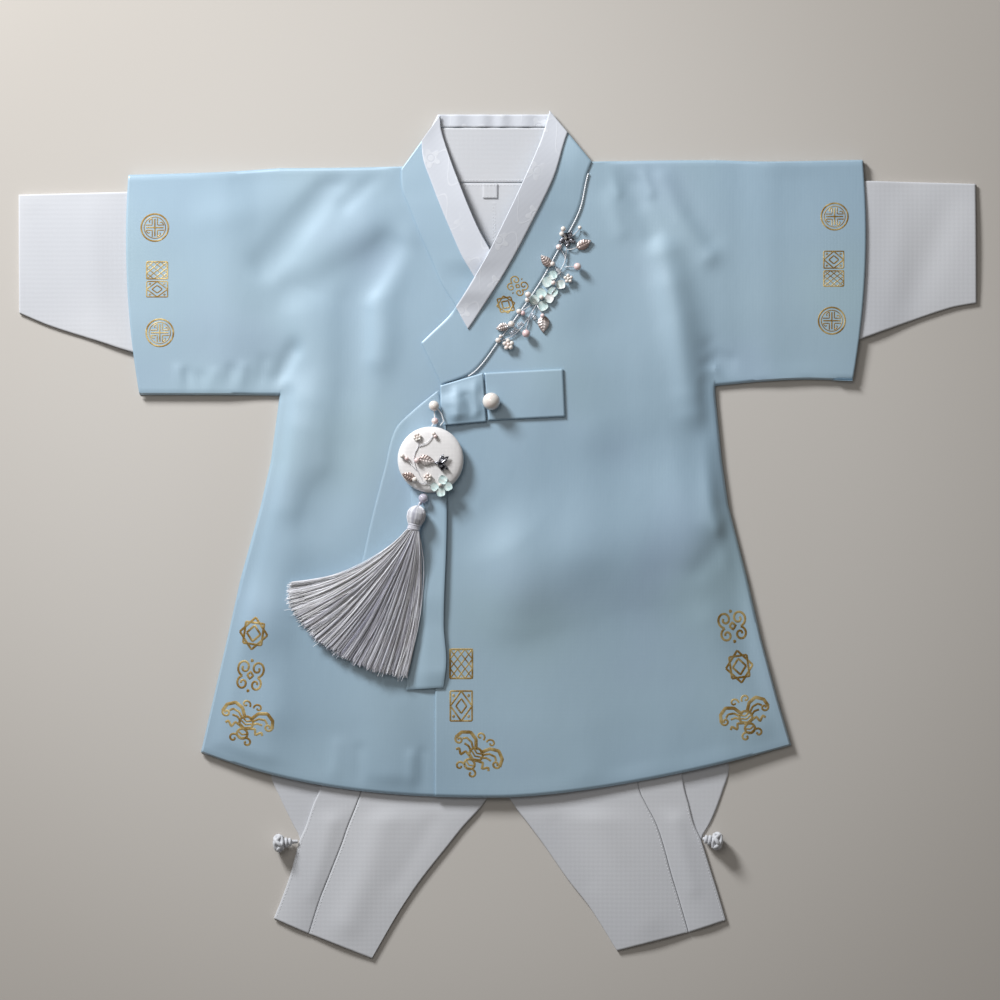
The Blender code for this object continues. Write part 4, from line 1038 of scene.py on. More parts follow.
def mesh_object(name: str, points: Array, faces: Array | list) -> Object:
    """A smooth-shaded mesh object.

    Args:
        name: the object's name.
        points: its points in millimetres, one row each.
        faces: its faces, as rows of point numbers.

    Returns:
        The object, linked to the scene.
    """
    data = bpy.data.meshes.new(name)
    rows = faces.tolist() if isinstance(faces, np.ndarray) else faces
    data.from_pydata((np.asarray(points) * MM).tolist(), [], rows)
    data.validate()
    data.shade_smooth()
    data.set_sharp_from_angle(angle=math.radians(SHARP_ANGLE))
    return linked(name, data)


def settle(made: Object, slot: str | None, *nodes: str) -> Object:
    """Lets a piece ride on the garment and stand for its nodes, which are hidden."""
    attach(made, BODY)
    if nodes:
        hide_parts(*nodes)
    return made


class Solid:
    """Closed bodies gathered into one mesh, each with the number of its finish."""

    def __init__(self, *bodies: Body) -> None:
        """Starts with these bodies in the first finish."""
        self.points: list[Array] = []
        self.faces: list[list[int]] = []
        self.marks: list[int] = []
        self.count = 0
        for body in bodies:
            self.add(body)

    def add(self, body: Body, mark: int = 0) -> None:
        """Adds a body's points and faces."""
        points, faces = body
        self.points.append(np.asarray(points, float))
        self.faces += [[self.count + int(index) for index in face] for face in faces]
        self.marks += [mark] * len(faces)
        self.count += len(points)

    def make(self, name: str, slot: str | None, nodes: Sequence[str],
             *finishes: Material) -> Object:
        """Makes the piece, which rides on the garment and stands for its nodes."""
        made = mesh_object(name, np.concatenate(self.points), self.faces)
        for finish in finishes:
            made.data.materials.append(finish)
        made.data.polygons.foreach_set("material_index", self.marks)
        log.info("%s: %d faces", name, len(self.faces))
        return settle(made, slot, *nodes)


class Ground:
    """The tops of finished pieces, read from straight above in millimetres."""

    def __init__(self, pieces: Sequence[Object]) -> None:
        """Gathers the pieces' faces."""
        points: list[Vector] = []
        faces: list[list[int]] = []
        for piece in pieces:
            start = len(points)
            points += [vertex.co / MM for vertex in piece.data.vertices]
            faces += [[start + index for index in face.vertices] for face in piece.data.polygons]
        self.tree = BVHTree.FromPolygons(points, faces)

    def at(self, x: float, y: float) -> float:
        """Height of the highest top here, or of the surface below everything."""
        found = self.tree.ray_cast(Vector((x, y, 80.0)), Vector((0.0, 0.0, -1.0)))[0]
        return found.z if found else 0.0

    def over(self, x: Array, y: Array) -> Array:
        """Heights at many places."""
        flat = [self.at(float(a), float(b)) for a, b in zip(np.ravel(x), np.ravel(y))]
        return np.array(flat).reshape(np.shape(x))


def box_of(node: str) -> tuple[Array, Array]:
    """Middle and size of a solid's box, in millimetres."""
    low, high = (np.array(corner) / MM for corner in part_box(node))
    return 0.5 * (low + high), high - low


def grown(made: Object, tree: NodeTree, **inputs: float) -> Object:
    """Evaluates a Geometry Nodes tree on an object and keeps the result as its plain mesh.

    Args:
        made: the object that holds the tree's lines.
        tree: the tree.
        inputs: values of its named inputs, an underscore standing for a space.

    Returns:
        The same object with the finished mesh.
    """
    modifier = made.modifiers.new("grow", "NODES")
    modifier.node_group = tree
    for item in tree.interface.items_tree:
        key = item.name.replace(" ", "_")
        if item.item_type == "SOCKET" and item.in_out == "INPUT" and key in inputs:
            modifier[item.identifier] = inputs[key]
    bpy.context.view_layer.update()
    depsgraph = bpy.context.evaluated_depsgraph_get()
    data = bpy.data.meshes.new_from_object(made.evaluated_get(depsgraph))
    made.modifiers.remove(modifier)
    made.data = data
    log.info("%s: %d faces", made.name, len(data.polygons))
    return made


def lines_object(name: str, lines: Sequence[Array], shades: Sequence[float]) -> Object:
    """An object of polylines in millimetres, each with a shade that its finish reads.

    Args:
        name: the object's name.
        lines: the points of each polyline.
        shades: one value from 0 to 1 for each polyline.

    Returns:
        The object, linked to the scene.
    """
    edges = []
    start = 0
    for points in lines:
        edges += [(start + index, start + index + 1) for index in range(len(points) - 1)]
        start += len(points)
    data = bpy.data.meshes.new(name)
    data.from_pydata((np.concatenate(lines) * MM).tolist(), edges, [])
    shade = data.attributes.new("shade", "FLOAT", "POINT")
    shade.data.foreach_set("value", np.repeat(shades, [len(row) for row in lines]).astype(np.float32))
    return linked(name, data)


class GrowthTree(Tree):
    """A Geometry Nodes tree with named inputs."""

    def __init__(self, name: str, **inputs: str) -> None:
        """Makes the tree and its inputs, each given with its socket type."""
        self.tree = bpy.data.node_groups.new(name, "GeometryNodeTree")
        face = self.tree.interface
        face.new_socket("Geometry", in_out="INPUT", socket_type="NodeSocketGeometry")
        for key, kind in inputs.items():
            face.new_socket(key.replace("_", " "), in_out="INPUT", socket_type=kind)
        face.new_socket("Geometry", in_out="OUTPUT", socket_type="NodeSocketGeometry")
        self.given = self.tree.nodes.new("NodeGroupInput").outputs
        self.result = self.tree.nodes.new("NodeGroupOutput")

    def out(self, kind: str, settings: dict | None = None, **values: object) -> Socket:
        """Adds a node and gives its first output."""
        return self.node(kind, settings, **values).outputs[0]

    def finish(self, geometry: Socket, finish: Material) -> NodeTree:
        """Ends the tree in real, smooth geometry with its finish."""
        real = self.out("GeometryNodeRealizeInstances", None, Geometry=geometry)
        soft = self.out("GeometryNodeSetShadeSmooth", None, Geometry=real)
        dressed = self.out("GeometryNodeSetMaterial", None, Geometry=soft, Material=finish)
        self.tree.links.new(dressed, self.result.inputs[0])
        return self.tree


def thread_tree(finish: Material) -> NodeTree:
    """The tree that turns polylines into round threads of a named radius."""
    tree = GrowthTree("threads", Thread_radius="NodeSocketFloat", Thread_sides="NodeSocketInt")
    given = tree.given
    curves = tree.out("GeometryNodeMeshToCurve", None, Mesh=given["Geometry"])
    profile = tree.out("GeometryNodeCurvePrimitiveCircle", None,
                       Resolution=given["Thread sides"], Radius=given["Thread radius"])
    rods = tree.out("GeometryNodeCurveToMesh", None, Curve=curves, Profile_Curve=profile, Fill_Caps=True)
    return tree.finish(rods, finish)


def stitch_tree(finish: Material) -> NodeTree:
    """The tree that sets a plump stitch at even steps along polylines."""
    tree = GrowthTree("stitches", Spacing="NodeSocketFloat", Thread_radius="NodeSocketFloat",
                      Stretch="NodeSocketFloat")
    given = tree.given
    curves = tree.out("GeometryNodeMeshToCurve", None, Mesh=given["Geometry"])
    places = tree.out("GeometryNodeResampleCurve", {"mode": "LENGTH"}, Curve=curves, Length=given["Spacing"])
    bead = tree.out("GeometryNodeMeshUVSphere", None, Segments=6, Rings=4, Radius=given["Thread radius"])
    scale = tree.out("ShaderNodeCombineXYZ", None, X=given["Stretch"], Y=1.0, Z=1.0)
    stitch = tree.out("GeometryNodeTransform", None, Geometry=bead, Scale=scale)
    tangent = tree.out("GeometryNodeInputTangent")
    turn = tree.out("FunctionNodeAlignRotationToVector", {"axis": "X"}, Vector=tangent)
    rows = tree.out("GeometryNodeInstanceOnPoints", None, Points=places, Instance=stitch, Rotation=turn)
    return tree.finish(rows, finish)


# Trims


@dataclass(frozen=True)
class Bead:
    """A pearl or bead: its place, its radius, and whether it is a pink one."""

    x: float
    y: float
    radius: float
    pink: bool = False


def beads(*rows: tuple[float, ...]) -> tuple[Bead, ...]:
    """Beads from rows of x, y and radius, and 1 for a pink one."""
    return tuple(Bead(*row) for row in rows)


def cluster(x: float, y: float, reach: float, radius: float, count: int = 5) -> list[tuple[float, ...]]:
    """Rows for a ring of small pearls round a middle one."""
    angles = [TURN * (index + 0.3) / count for index in range(count)]
    return [*((x + reach * math.cos(a), y + reach * math.sin(a), radius) for a in angles), (x, y, radius)]


@dataclass(frozen=True)
class Leaf:
    """A stamped leaf or petal: its middle, length, width and the way that its tip points."""

    x: float
    y: float
    length: float
    width: float
    turn: float
    veins: float = 6.0
    depth: float = 0.22
    wall: float = 0.4
    crown: float = 0.8

    def body(self, bed: float) -> Body:
        """The leaf's points and faces over a level bed."""
        across, along = np.meshgrid(np.linspace(-1.0, 1.0, 13), np.linspace(0.0, 1.0, 25))
        half = 0.5 * self.width * (0.05 + 0.95 * (np.sin(math.pi * along**0.8) ** 0.85))
        x, y = turned_place(self.x, self.y, (along - 0.5) * self.length, across * half, self.turn)
        vein = np.cos(TURN * (self.veins * along - 0.9 * np.abs(across)))
        rib = np.exp(-((across / 0.13) ** 2))
        height = self.crown * (1.0 - across**2) + self.depth * vein * (1.0 - rib) - 1.4 * self.depth * rib
        low = bed + height + 0.5 * self.crown * np.sin(math.pi * along)
        return sheet(x, y, low, low + self.wall, False)


@dataclass(frozen=True)
class Petal:
    """A rounded square petal: its middle, half size and turn."""

    x: float
    y: float
    half: float
    turn: float
    wall: float = 0.4
    cup: float = 0.7
    opaque: bool = False

    def body(self, bed: float) -> Body:
        """The petal's points and faces over a level bed."""
        u, v = np.meshgrid(np.linspace(-1.0, 1.0, 11), np.linspace(-1.0, 1.0, 11))
        across = self.half * u * np.sqrt(1.0 - 0.36 * v**2)
        along = self.half * v * np.sqrt(1.0 - 0.36 * u**2)
        x, y = turned_place(self.x, self.y, across, along, self.turn)
        low = bed + self.cup * (u**2 + v**2) / 2.0 + 0.16 * np.cos(5.0 * u)
        return sheet(x, y, low, low + self.wall, True)


def wire(route: Line, ground: Ground, radius: float, lift: float, arch: float) -> Body:
    """A thin wire along a line on the ground, arched a little between its ends."""
    shares = np.linspace(0.0, 1.0, max(8, 6 * len(route.points)))
    x, y = route.at(shares)
    z = ground.over(x, y)
    ends = mix(z[0], z[-1], shares)
    z = np.maximum(z + radius + 0.05, ends + lift + arch * np.sin(math.pi * shares))
    return tube(np.stack((x, y, z), axis=-1), radius)


def spring(start: Place, end: Place, ground: Ground, turns: int = 4, reach: float = 1.3,
           radius: float = 0.22) -> Body:
    """A wire wound into a loose spring between two places."""
    share = np.linspace(0.0, 1.0, 14 * turns)
    run = np.array([end[0] - start[0], end[1] - start[1]])
    aside = np.array([-run[1], run[0]]) / np.hypot(*run) * reach
    angle = TURN * turns * share
    x = start[0] + run[0] * share + aside[0] * np.cos(angle)
    y = start[1] + run[1] * share + aside[1] * np.cos(angle)
    height = ground.over(x, y).max() + reach + radius + 0.2
    return tube(np.stack((x, y, height + reach * np.sin(angle)), axis=-1), radius, 5)


# Panels


@dataclass
class Panel:
    """One cloth panel: a thin closed shell over a plan, with its edges rounded as folded cloth.

    size is its rough width and length, from which its stations come. rolled says how much of the
    rounding each place on its rim gets, and breaks are shares of the length that must be stations.
    """

    name: str
    node: str
    plan: Plan
    low: Height
    size: tuple[float, float]
    rests_on: tuple[str, ...] = ()
    pitch: float = FINE
    thickness: float | Height = CLOTH.thickness
    rolled: Callable[[Array, Array], Array] | None = None
    breaks: tuple[float, ...] = ()
    held: str = "laid"
    edge: float = 0.5
    round_below: float = 0.25
    round_above: float = 0.42
    least_cut: float = 10.0

    def shares(self, reach: float, breaks: Sequence[float] = ()) -> Array:
        """Shares from 0 to 1 across a panel of this size, closer together at its rounded rim."""
        rim = self.edge / reach
        marks = [0.0, *breaks, 1.0]
        found: list[float] = []
        for low, high in zip(marks, marks[1:]):
            count = max(2, round((high - low) * reach / self.pitch))
            found += [mix(low, high, index / count) for index in range(count)]
        inner = [share for share in found if 3.2 * rim < share < 1.0 - 3.2 * rim]
        return np.array([0.0, rim, 2.6 * rim, *inner, 1.0 - 2.6 * rim, 1.0 - rim, 1.0])

    def make(self, slot: str, finish: Material) -> Object:
        """Args:
            slot: the slot of its finish; not used.
            finish: its material.

        Returns:
            The shell, riding on the garment.
        """
        s, t = np.meshgrid(self.shares(self.size[0]), self.shares(self.size[1], self.breaks))
        x, y = self.plan(s, t)
        low = self.low(x, y, s, t)
        thick = self.thickness(x, y, s, t) if callable(self.thickness) else self.thickness
        rim = np.zeros(x.shape)
        rim[[0, -1], :] = 1.0
        rim[:, [0, -1]] = 1.0
        if self.rolled:
            rim = rim * self.rolled(x, y)
        bottom, top = low + self.round_below * thick * rim, low + thick - self.round_above * thick * rim
        made = mesh_object(self.name, *sheet(x, y, bottom, top, self.turns_left(x, y)))
        made.data.materials.append(finish)
        settle(made, slot, self.node)
        width, length, area = self.cut(x, y)
        log.info("%s: cut %.0f x %.0f mm", self.name, width / MM, length / MM)
        return made

    @staticmethod
    def turns_left(x: Array, y: Array) -> bool:
        """True if the plan's rows and columns turn as X and Y do."""
        i, j = x.shape[0] // 2, x.shape[1] // 2
        across = (x[i, j + 1] - x[i, j], y[i, j + 1] - y[i, j])
        along = (x[i + 1, j] - x[i, j], y[i + 1, j] - y[i, j])
        return across[0] * along[1] - across[1] * along[0] > 0.0

    def cut(self, x: Array, y: Array) -> tuple[float, float, float]:
        """The panel's widest row, longest column and area as it lies, in metres."""
        width = np.hypot(np.diff(x, axis=1), np.diff(y, axis=1)).sum(axis=1).max()
        length = np.hypot(np.diff(x, axis=0), np.diff(y, axis=0)).sum(axis=0).max()
        ax, ay = x[1:, 1:] - x[:-1, :-1], y[1:, 1:] - y[:-1, :-1]
        bx, by = x[1:, :-1] - x[:-1, 1:], y[1:, :-1] - y[:-1, 1:]
        area = 0.5 * np.abs(ax * by - ay * bx).sum()
        width, length = max(width, self.least_cut), max(length, self.least_cut)
        return width * MM, length * MM, min(area * MM * MM, width * length * MM * MM)


# The garment's sub-assemblies


@dataclass
class Finishes:
    """The materials that the sub-assemblies share."""

    satin: Material
    white: Material
    brocade: Material
    sewing: Material
    cord: Material
    silk: Material
    thread: Material
    thread_plain: Material
    pearl: Material
    pink: Material
    nacre: Material
    mint: Material
    bead: Material
    leaf: Material
    wire: Material
    dark: Material
    foil: Material


def make_finishes() -> Finishes:
    """Makes every material once."""
    return Finishes(
        satin=Satin().make(),
        white=PlainCloth().make(),
        brocade=Brocade().make(),
        sewing=PlainCloth("sewing_thread", linear(236, 237, 240), linear(214, 216, 222), 0.6).make(),
        cord=TwistedCord().make(),
        silk=Silk().make(),
        thread=Thread().make(),
        thread_plain=Thread("tassel_core", plain=True).make(),
        pearl=Lustre("pearl", linear(232, 229, 223), linear(232, 219, 213), 0.16).make(),
        pink=Lustre("pink_pearl", linear(230, 200, 202), linear(242, 226, 221), 0.22).make(),
        nacre=Lustre("nacre_petal", linear(240, 242, 242), linear(214, 232, 230), 0.3, 0.6).make(),
        mint=Lustre("mint_petal", linear(212, 240, 240), linear(234, 248, 246), 0.24, 0.7, 320, 0.12).make(),
        bead=Lustre("lavender_bead", linear(212, 208, 228), linear(234, 232, 242), 0.1, 1, 200, 0.3).make(),
        leaf=Stamped("stamped_leaf", linear(236, 228, 226), linear(164, 146, 140), 0.3, 90.0, 0.62).make(),
        wire=Stamped("silver_wire", linear(246, 246, 248), linear(214, 214, 220), 0.3, shine=0.45).make(),
        dark=Stamped("dark_silver", linear(196, 196, 204), linear(34, 34, 40), 0.24, 520.0).make(),
        foil=GoldFoil().make(),
    )


@dataclass
class Part:
    """A sub-assembly of the garment, with the finishes and the cloth rules that it shares."""

    finishes: Finishes
    cloth: Cloth = field(default=CLOTH, kw_only=True)

    def sew(self, slot: str, *panels: Panel) -> list[Object]:
        """Makes panels in the finish of their slot."""
        given = self.finishes
        cloths = {"blue_satin": given.satin, "white_cloth": given.white, "white_brocade": given.brocade}
        return [panel.make(slot, cloths[slot]) for panel in panels]

    def closed(self, share: Array, t: Array) -> Array:
        """What a back wall gains along a seam, except at its open end."""
        return 0.5 * (1.0 - smooth(share)) * smooth((t - 0.02) / 0.03)


@dataclass
class Jacket(Part):
    """The blue body: its back and its two wrapped fronts."""

    length: float = 430.0

    def side(self, left: bool) -> Edge:
        """One side of the body, from the hem's corner past the armpit to the shoulder."""
        cloth = self.cloth
        corner = cloth.hem_corner_left if left else cloth.hem_corner_right
        armpit = cloth.armpit_left_y if left else cloth.armpit_right_y
        edge = -cloth.armhole_x if left else cloth.armhole_x
        top = float(cloth.shoulder_y(np.array(edge)))
        station = cloth.armpit_station

        def along(t: Array) -> tuple[Array, Array]:
            """Places at shares of the height."""
            above = (t - station) / (1.0 - station)
            y = np.where(t < station, mix(corner[1], armpit, t / station), mix(armpit, top, above))
            x = np.where(t < station, np.interp(y, SIDES[0], SIDES[1 if left else 2]), edge)
            return np.where(t == 0.0, corner[0], x), y

        return along

    def plan(self, west: Edge, east: Edge) -> Plan:
        """The plan between two side lines, the hem and the shoulder line."""

        def crossing(height: Callable[[Array], Array], share: float) -> Edge:
            """The line from side to side at a share of their length."""
            first, last = (float(edge(np.array(share))[0]) for edge in (west, east))
            return lambda s: (mix(first, last, s), height(mix(first, last, s)))

        return patch(west, east, crossing(self.cloth.hem_y, 0.0), crossing(self.cloth.shoulder_y, 1.0))

    def rolled(self, x: Array, y: Array) -> Array:
        """Rim rounding: none at the armholes, where the sleeves go on without a step."""
        joined = (np.abs(x) > self.cloth.armhole_x - 0.5) & (y > self.cloth.armpit_y(x) + 1.0)
        return np.where(joined, 0.0, 1.0)

    def back_thickness(self, x: Array, y: Array, s: Array, t: Array) -> Array:
        """The back's own thickness, and at the side seams as much as reaches the front."""
        return self.cloth.thickness + self.closed(24.0 * np.minimum(s, 1.0 - s), t)

    def build(self) -> list[Object]:
        """Builds the back and both fronts."""
        cloth, left, right = self.cloth, self.side(True), self.side(False)
        rim = {"rolled": self.rolled, "breaks": (cloth.armpit_station,)}
        return self.sew(
            "blue_satin",
            Panel("back_panel", "jacket_back", self.plan(left, right), cloth.lift, (400.0, self.length),
                  ("trousers_left_front", "trousers_right_front"), COARSE, self.back_thickness, **rim),
            Panel("under_front", "jacket_front_under", self.plan(left, UNDER_FRONT_EDGE.at),
                  cloth.under_front, (200.0, self.length), ("back_panel",), **rim),
            Panel("over_front", "jacket_front_over", self.plan(OVER_FRONT_EDGE.at, right),
                  cloth.over_front, (240.0, self.length), ("back_panel", "under_front"), **rim),
        )


@dataclass
class Sleeves(Part):
    """The blue half sleeves and the white inner sleeves in them."""

    cuff_bow: tuple[float, float] = (-4.5, 5.0)

    def bowed(self, edges: Strip, bow: float) -> Plan:
        """A sleeve's plan whose cuff line bows out between its ends."""
        plain = ruled(edges)

        def plan(s: Array, t: Array) -> tuple[Array, Array]:
            """Places at shares of the width and the length."""
            x, y = plain(s, t)
            return x + bow * 4.0 * s * (1.0 - s) * (1.0 - smooth(t / 0.35)), y

        return plan

    def white_low(self, layer: int) -> Height:
        """Underside of the back, layer 0, or the front, layer 1, of an inner sleeve."""
        cloth = self.cloth

        def low(x: Array, y: Array, s: Array, t: Array) -> Array:
            """Heights of the underside at these places."""
            drop = 1.0 - smooth((np.abs(x) - cloth.white_drop_start_x) / cloth.white_drop_length)
            swell = (0.9 + folds_of(WHITE_FOLDS, x, y)) * 4.0 * s * (1.0 - s) * (1.0 - drop) * layer
            return cloth.layer * drop + cloth.layer * layer + swell

        return low

    def closed_back(self, x: Array, y: Array, s: Array, t: Array) -> Array:
        """Thickness of a back wall that meets its front along the fold and the lower seam."""
        return self.cloth.thickness + self.closed(50.0 * np.minimum(s, 1.0 - s), t)

    def open_end(self, x: Array, y: Array) -> Array:
        """Rim rounding: none at the armhole."""
        return np.where(np.abs(x) < self.cloth.armhole_x + 0.5, 0.0, 1.0)

    def build(self) -> list[Object]:
        """Builds the two walls of each sleeve."""
        made = []
        for side, bow in zip(("left", "right"), self.cuff_bow):
            blue, white = self.bowed(BLUE_SLEEVE[side], bow), ruled(WHITE_SLEEVE[side])
            size, small = (152.0, 100.0), (95.0, 120.0)
            made += self.sew(
                "blue_satin",
                Panel(f"sleeve_{side}_under", f"sleeve_{side}_back", blue, self.cloth.lift, size,
                      (), COARSE, self.closed_back, self.open_end),
                Panel(f"sleeve_{side}_over", f"sleeve_{side}_front", blue, self.cloth.under_front, size,
                      (f"inner_{side}_over",), rolled=self.open_end),
            )
            made += self.sew(
                "white_cloth",
                Panel(f"inner_{side}_under", f"inner_sleeve_{side}_back", white, self.white_low(0), small,
                      (), 4.0, self.closed_back),
                Panel(f"inner_{side}_over", f"inner_sleeve_{side}_front", white, self.white_low(1), small,
                      (f"inner_{side}_under",)),
            )
        return made


@dataclass
class Trousers(Part):
    """The white trousers, whose ankles show below the jacket."""

    length: float = 370.0
    seam_gap: float = 0.3
    waist_low_y: float = 78.0
    waist_thickness: float = 2.3

    def low(self, layer: int) -> Height:
        """Underside of a trouser layer, the upper one swelling a little below the hem."""

        def low(x: Array, y: Array, s: Array, t: Array) -> Array:
            """Heights of the underside at these places."""
            shown = smooth((-182.0 - y) / 14.0)
            soft = 0.7 + folds_of(WHITE_FOLDS, x, y)
            return self.cloth.layer * layer + soft * shown * 4.0 * s * (1.0 - s) * layer

        return low

    def build(self) -> list[Object]:
        """Builds back, front and ankle flap of each leg, and the waistband."""
        made = []
        for side, sign in (("left", -1.0), ("right", 1.0)):
            legs, below = LEG_BACK[side], (f"trousers_{side}_back",)
            shift = 0.5 * self.seam_gap * sign
            front = Line(tuple((x - shift, y) for x, y in LEG_SEAM[side].points))
            flap = Line(tuple((x + shift, y) for x, y in LEG_SEAM[side].points))
            made += self.sew(
                "white_cloth",
                Panel(f"trousers_{side}_back", f"trouser_{side}_back", ruled(legs), self.low(0),
                      (110.0, self.length), (), COARSE),
                Panel(f"trousers_{side}_front", f"trouser_{side}_front", between(front, legs.outer),
                      self.low(1), (80.0, self.length), below),
                Panel(f"trousers_{side}_flap", f"trouser_{side}_flap", between(FLAP_EDGE[side], flap),
                      self.low(1), (30.0, self.length), below),
            )
        half = self.cloth.waist_half_width
        rows = stations((self.waist_low_y, -half, half), (self.cloth.waist_top_y, -half, half))
        band = Panel("waistband", "trouser_waistband", rows_plan(rows), level(0.0), (208.0, 22.0), (),
                     COARSE, self.waist_thickness)
        return made + self.sew("white_cloth", band)


@dataclass
class Collar(Part):
    """The blue collar, its white strips and what shows inside the neck."""

    over_strip_share: float = 0.43
    under_strip_share: float = 0.47
    over_strip_length: float = 0.815
    lean_under: float = 2.2
    lean_over: float = 1.3
    pitch: float = 1.6

    def under_strip_low(self, x: Array, y: Array, s: Array, t: Array) -> Array:
        """Underside of the under strip."""
        return self.cloth.under_collar(x, y, s * self.under_strip_share, t) + self.cloth.layer

    def over_strip_low(self, x: Array, y: Array, s: Array, t: Array) -> Array:
        """Underside of the over strip."""
        share, length = self.over_strip_share, self.over_strip_length
        return self.cloth.over_collar(x, y, s * share, t * length) + self.cloth.layer

    def band_low(self, x: Array, y: Array, s: Array, t: Array) -> Array:
        """Underside of the neck band, which lies in soft upright folds."""
        return self.cloth.layer + 0.35 * (1.0 + np.sin(0.42 * x + 0.6 * np.sin(0.17 * x)))

    def leaning(self, lean: float) -> Height:
        """Thickness of a strip that is thicker at the neck, above the crossing of the strips."""
        return lambda x, y, s, t: 1.0 + lean * (1.0 - s) * self.cloth.neck_fade(y, 172.0)

    def build(self) -> list[Object]:
        """Builds the collar, its strips and the neck's inside."""
        cloth = self.cloth
        under, over = ruled(UNDER_COLLAR), ruled(OVER_COLLAR)
        blue = self.sew(
            "blue_satin",
            Panel("collar_back_piece", "collar_back", ruled(COLLAR_BACK), level(0.0), (110.0, 38.0),
                  (), 3.0),
            Panel("collar_under_piece", "collar_under", under, cloth.under_collar, (44.0, 140.0),
                  ("under_front",), self.pitch, edge=0.8),
            Panel("collar_over_piece", "collar_over", over, cloth.over_collar, (42.0, 215.0),
                  ("over_front",), self.pitch, edge=0.8),
        )
        strips = self.sew(
            "white_brocade",
            Panel("strip_under_piece", "strip_under", part_of(under, self.under_strip_share),
                  self.under_strip_low, (20.0, 140.0), ("collar_under_piece",), self.pitch,
                  self.leaning(self.lean_under)),
            Panel("strip_over_piece", "strip_over",
                  part_of(over, self.over_strip_share, self.over_strip_length),
                  self.over_strip_low, (18.0, 170.0), ("collar_over_piece",), self.pitch,
                  self.leaning(self.lean_over)),
            Panel("neck_band_piece", "neck_band", rows_plan(NECK_BAND), self.band_low, (80.0, 8.6),
                  ("collar_back_piece",), self.pitch),
        )
        inside = self.sew(
            "white_cloth",
            Panel("yoke_lining", "lining_yoke", rows_plan(YOKE), level(cloth.layer), (80.0, 37.0),
                  ("back_panel",), self.pitch),
            Panel("back_lining", "lining_back", rows_plan(LINING), level(cloth.layer), (50.0, 59.0),
                  ("back_panel",), self.pitch),
            Panel("neck_label", "label", self.label_plan(), level(2.0 * cloth.layer), (10.0, 10.0),
                  ("back_lining",), self.pitch, 0.6),
        )
        return blue + strips + inside

    def label_plan(self) -> Plan:
        """The plan of the label, from its solid's box."""
        middle, size = box_of("label")
        (left, low), (right, high) = middle[:2] - 0.5 * size[:2], middle[:2] + 0.5 * size[:2]
        return between(line(left, low, left, high), line(right, low, right, high))


@dataclass
class Ribbon(Part):
    """The fastening: a tab, its gathered knot and two hanging tails."""

    tab_thickness: float = 1.6
    knot_height: float = 3.0
    tail_lean: float = 2.0
    knot_creases: tuple[Crease, ...] = creases(
        (3.4, 0.9, -28.5, 101, -26, 90, -27.5, 79), (3, -1.1, -21.5, 94, -19, 88, -18, 83),
        (2.6, -0.5, -33.6, 98, -33, 86), (3, 0.6, -14, 104, -12.5, 84), (2.4, 0.4, -35, 92, -30, 79),
    )
    pitch: float = 1.4

    def knot_low(self, x: Array, y: Array, s: Array, t: Array) -> Array:
        """Underside of the knot."""
        on_tails = (1.0 - smooth((y - 88.0) / 9.0)) * (1.0 - smooth((x + 30.0) / 12.0))
        return self.cloth.under_front(x, y) + self.cloth.layer * (3.35 + 0.75 * on_tails)

    def knot_thickness(self, x: Array, y: Array, s: Array, t: Array) -> Array:
        """Gathered folds that run to the button side and sink towards the rim."""
        rim = smooth(2.6 * s) * smooth(4.0 * (1.0 - s)) * smooth(4.0 * t) * smooth(2.8 * (1.0 - t))
        soft = 0.72 + folds_of(self.knot_creases, x, y) * 0.26
        return 1.1 + (self.knot_height - 1.1) * rim * soft

    def narrow_low(self, x: Array, y: Array, s: Array, t: Array) -> Array:
        """Underside of the narrow tail: on the wide tail above, on the front below it."""
        lean = self.tail_lean * s * smooth(t / 0.3) * (1.0 - smooth((t - 0.93) / 0.1))
        return self.cloth.ribbon_bed(x, y) + 0.8 * smooth((y + 64.0) / 24.0) + lean

    def tab_low(self, x: Array, y: Array, s: Array, t: Array) -> Array:
        """Underside of the tab."""
        return self.cloth.over_front(x, y) + self.cloth.layer

    def build(self) -> list[Object]:
        """Builds the tab, the knot and the tails."""
        return self.sew(
            "blue_satin",
            Panel("tail_wide", "ribbon_tail_wide", ruled(WIDE_TAIL), self.cloth.ribbon_bed,
                  (38.0, 200.0), ("under_front",), self.pitch, 0.55, edge=0.8),
            Panel("tail_narrow", "ribbon_tail_narrow", ruled(NARROW_TAIL), self.narrow_low,
                  (24.0, 185.0), ("tail_wide", "over_front"), self.pitch, 0.7, edge=0.8),
            Panel("tab", "ribbon_tab", between(TAB_LEFT, TAB_RIGHT), self.tab_low, (53.0, 33.0),
                  ("over_front",), self.pitch, self.tab_thickness, edge=0.6),
            Panel("knot", "ribbon_knot", between(KNOT_LEFT, KNOT_RIGHT), self.knot_low, (30.0, 33.0),
                  ("tail_wide", "collar_over_piece"), 0.8, self.knot_thickness, held="gathered"),
        )


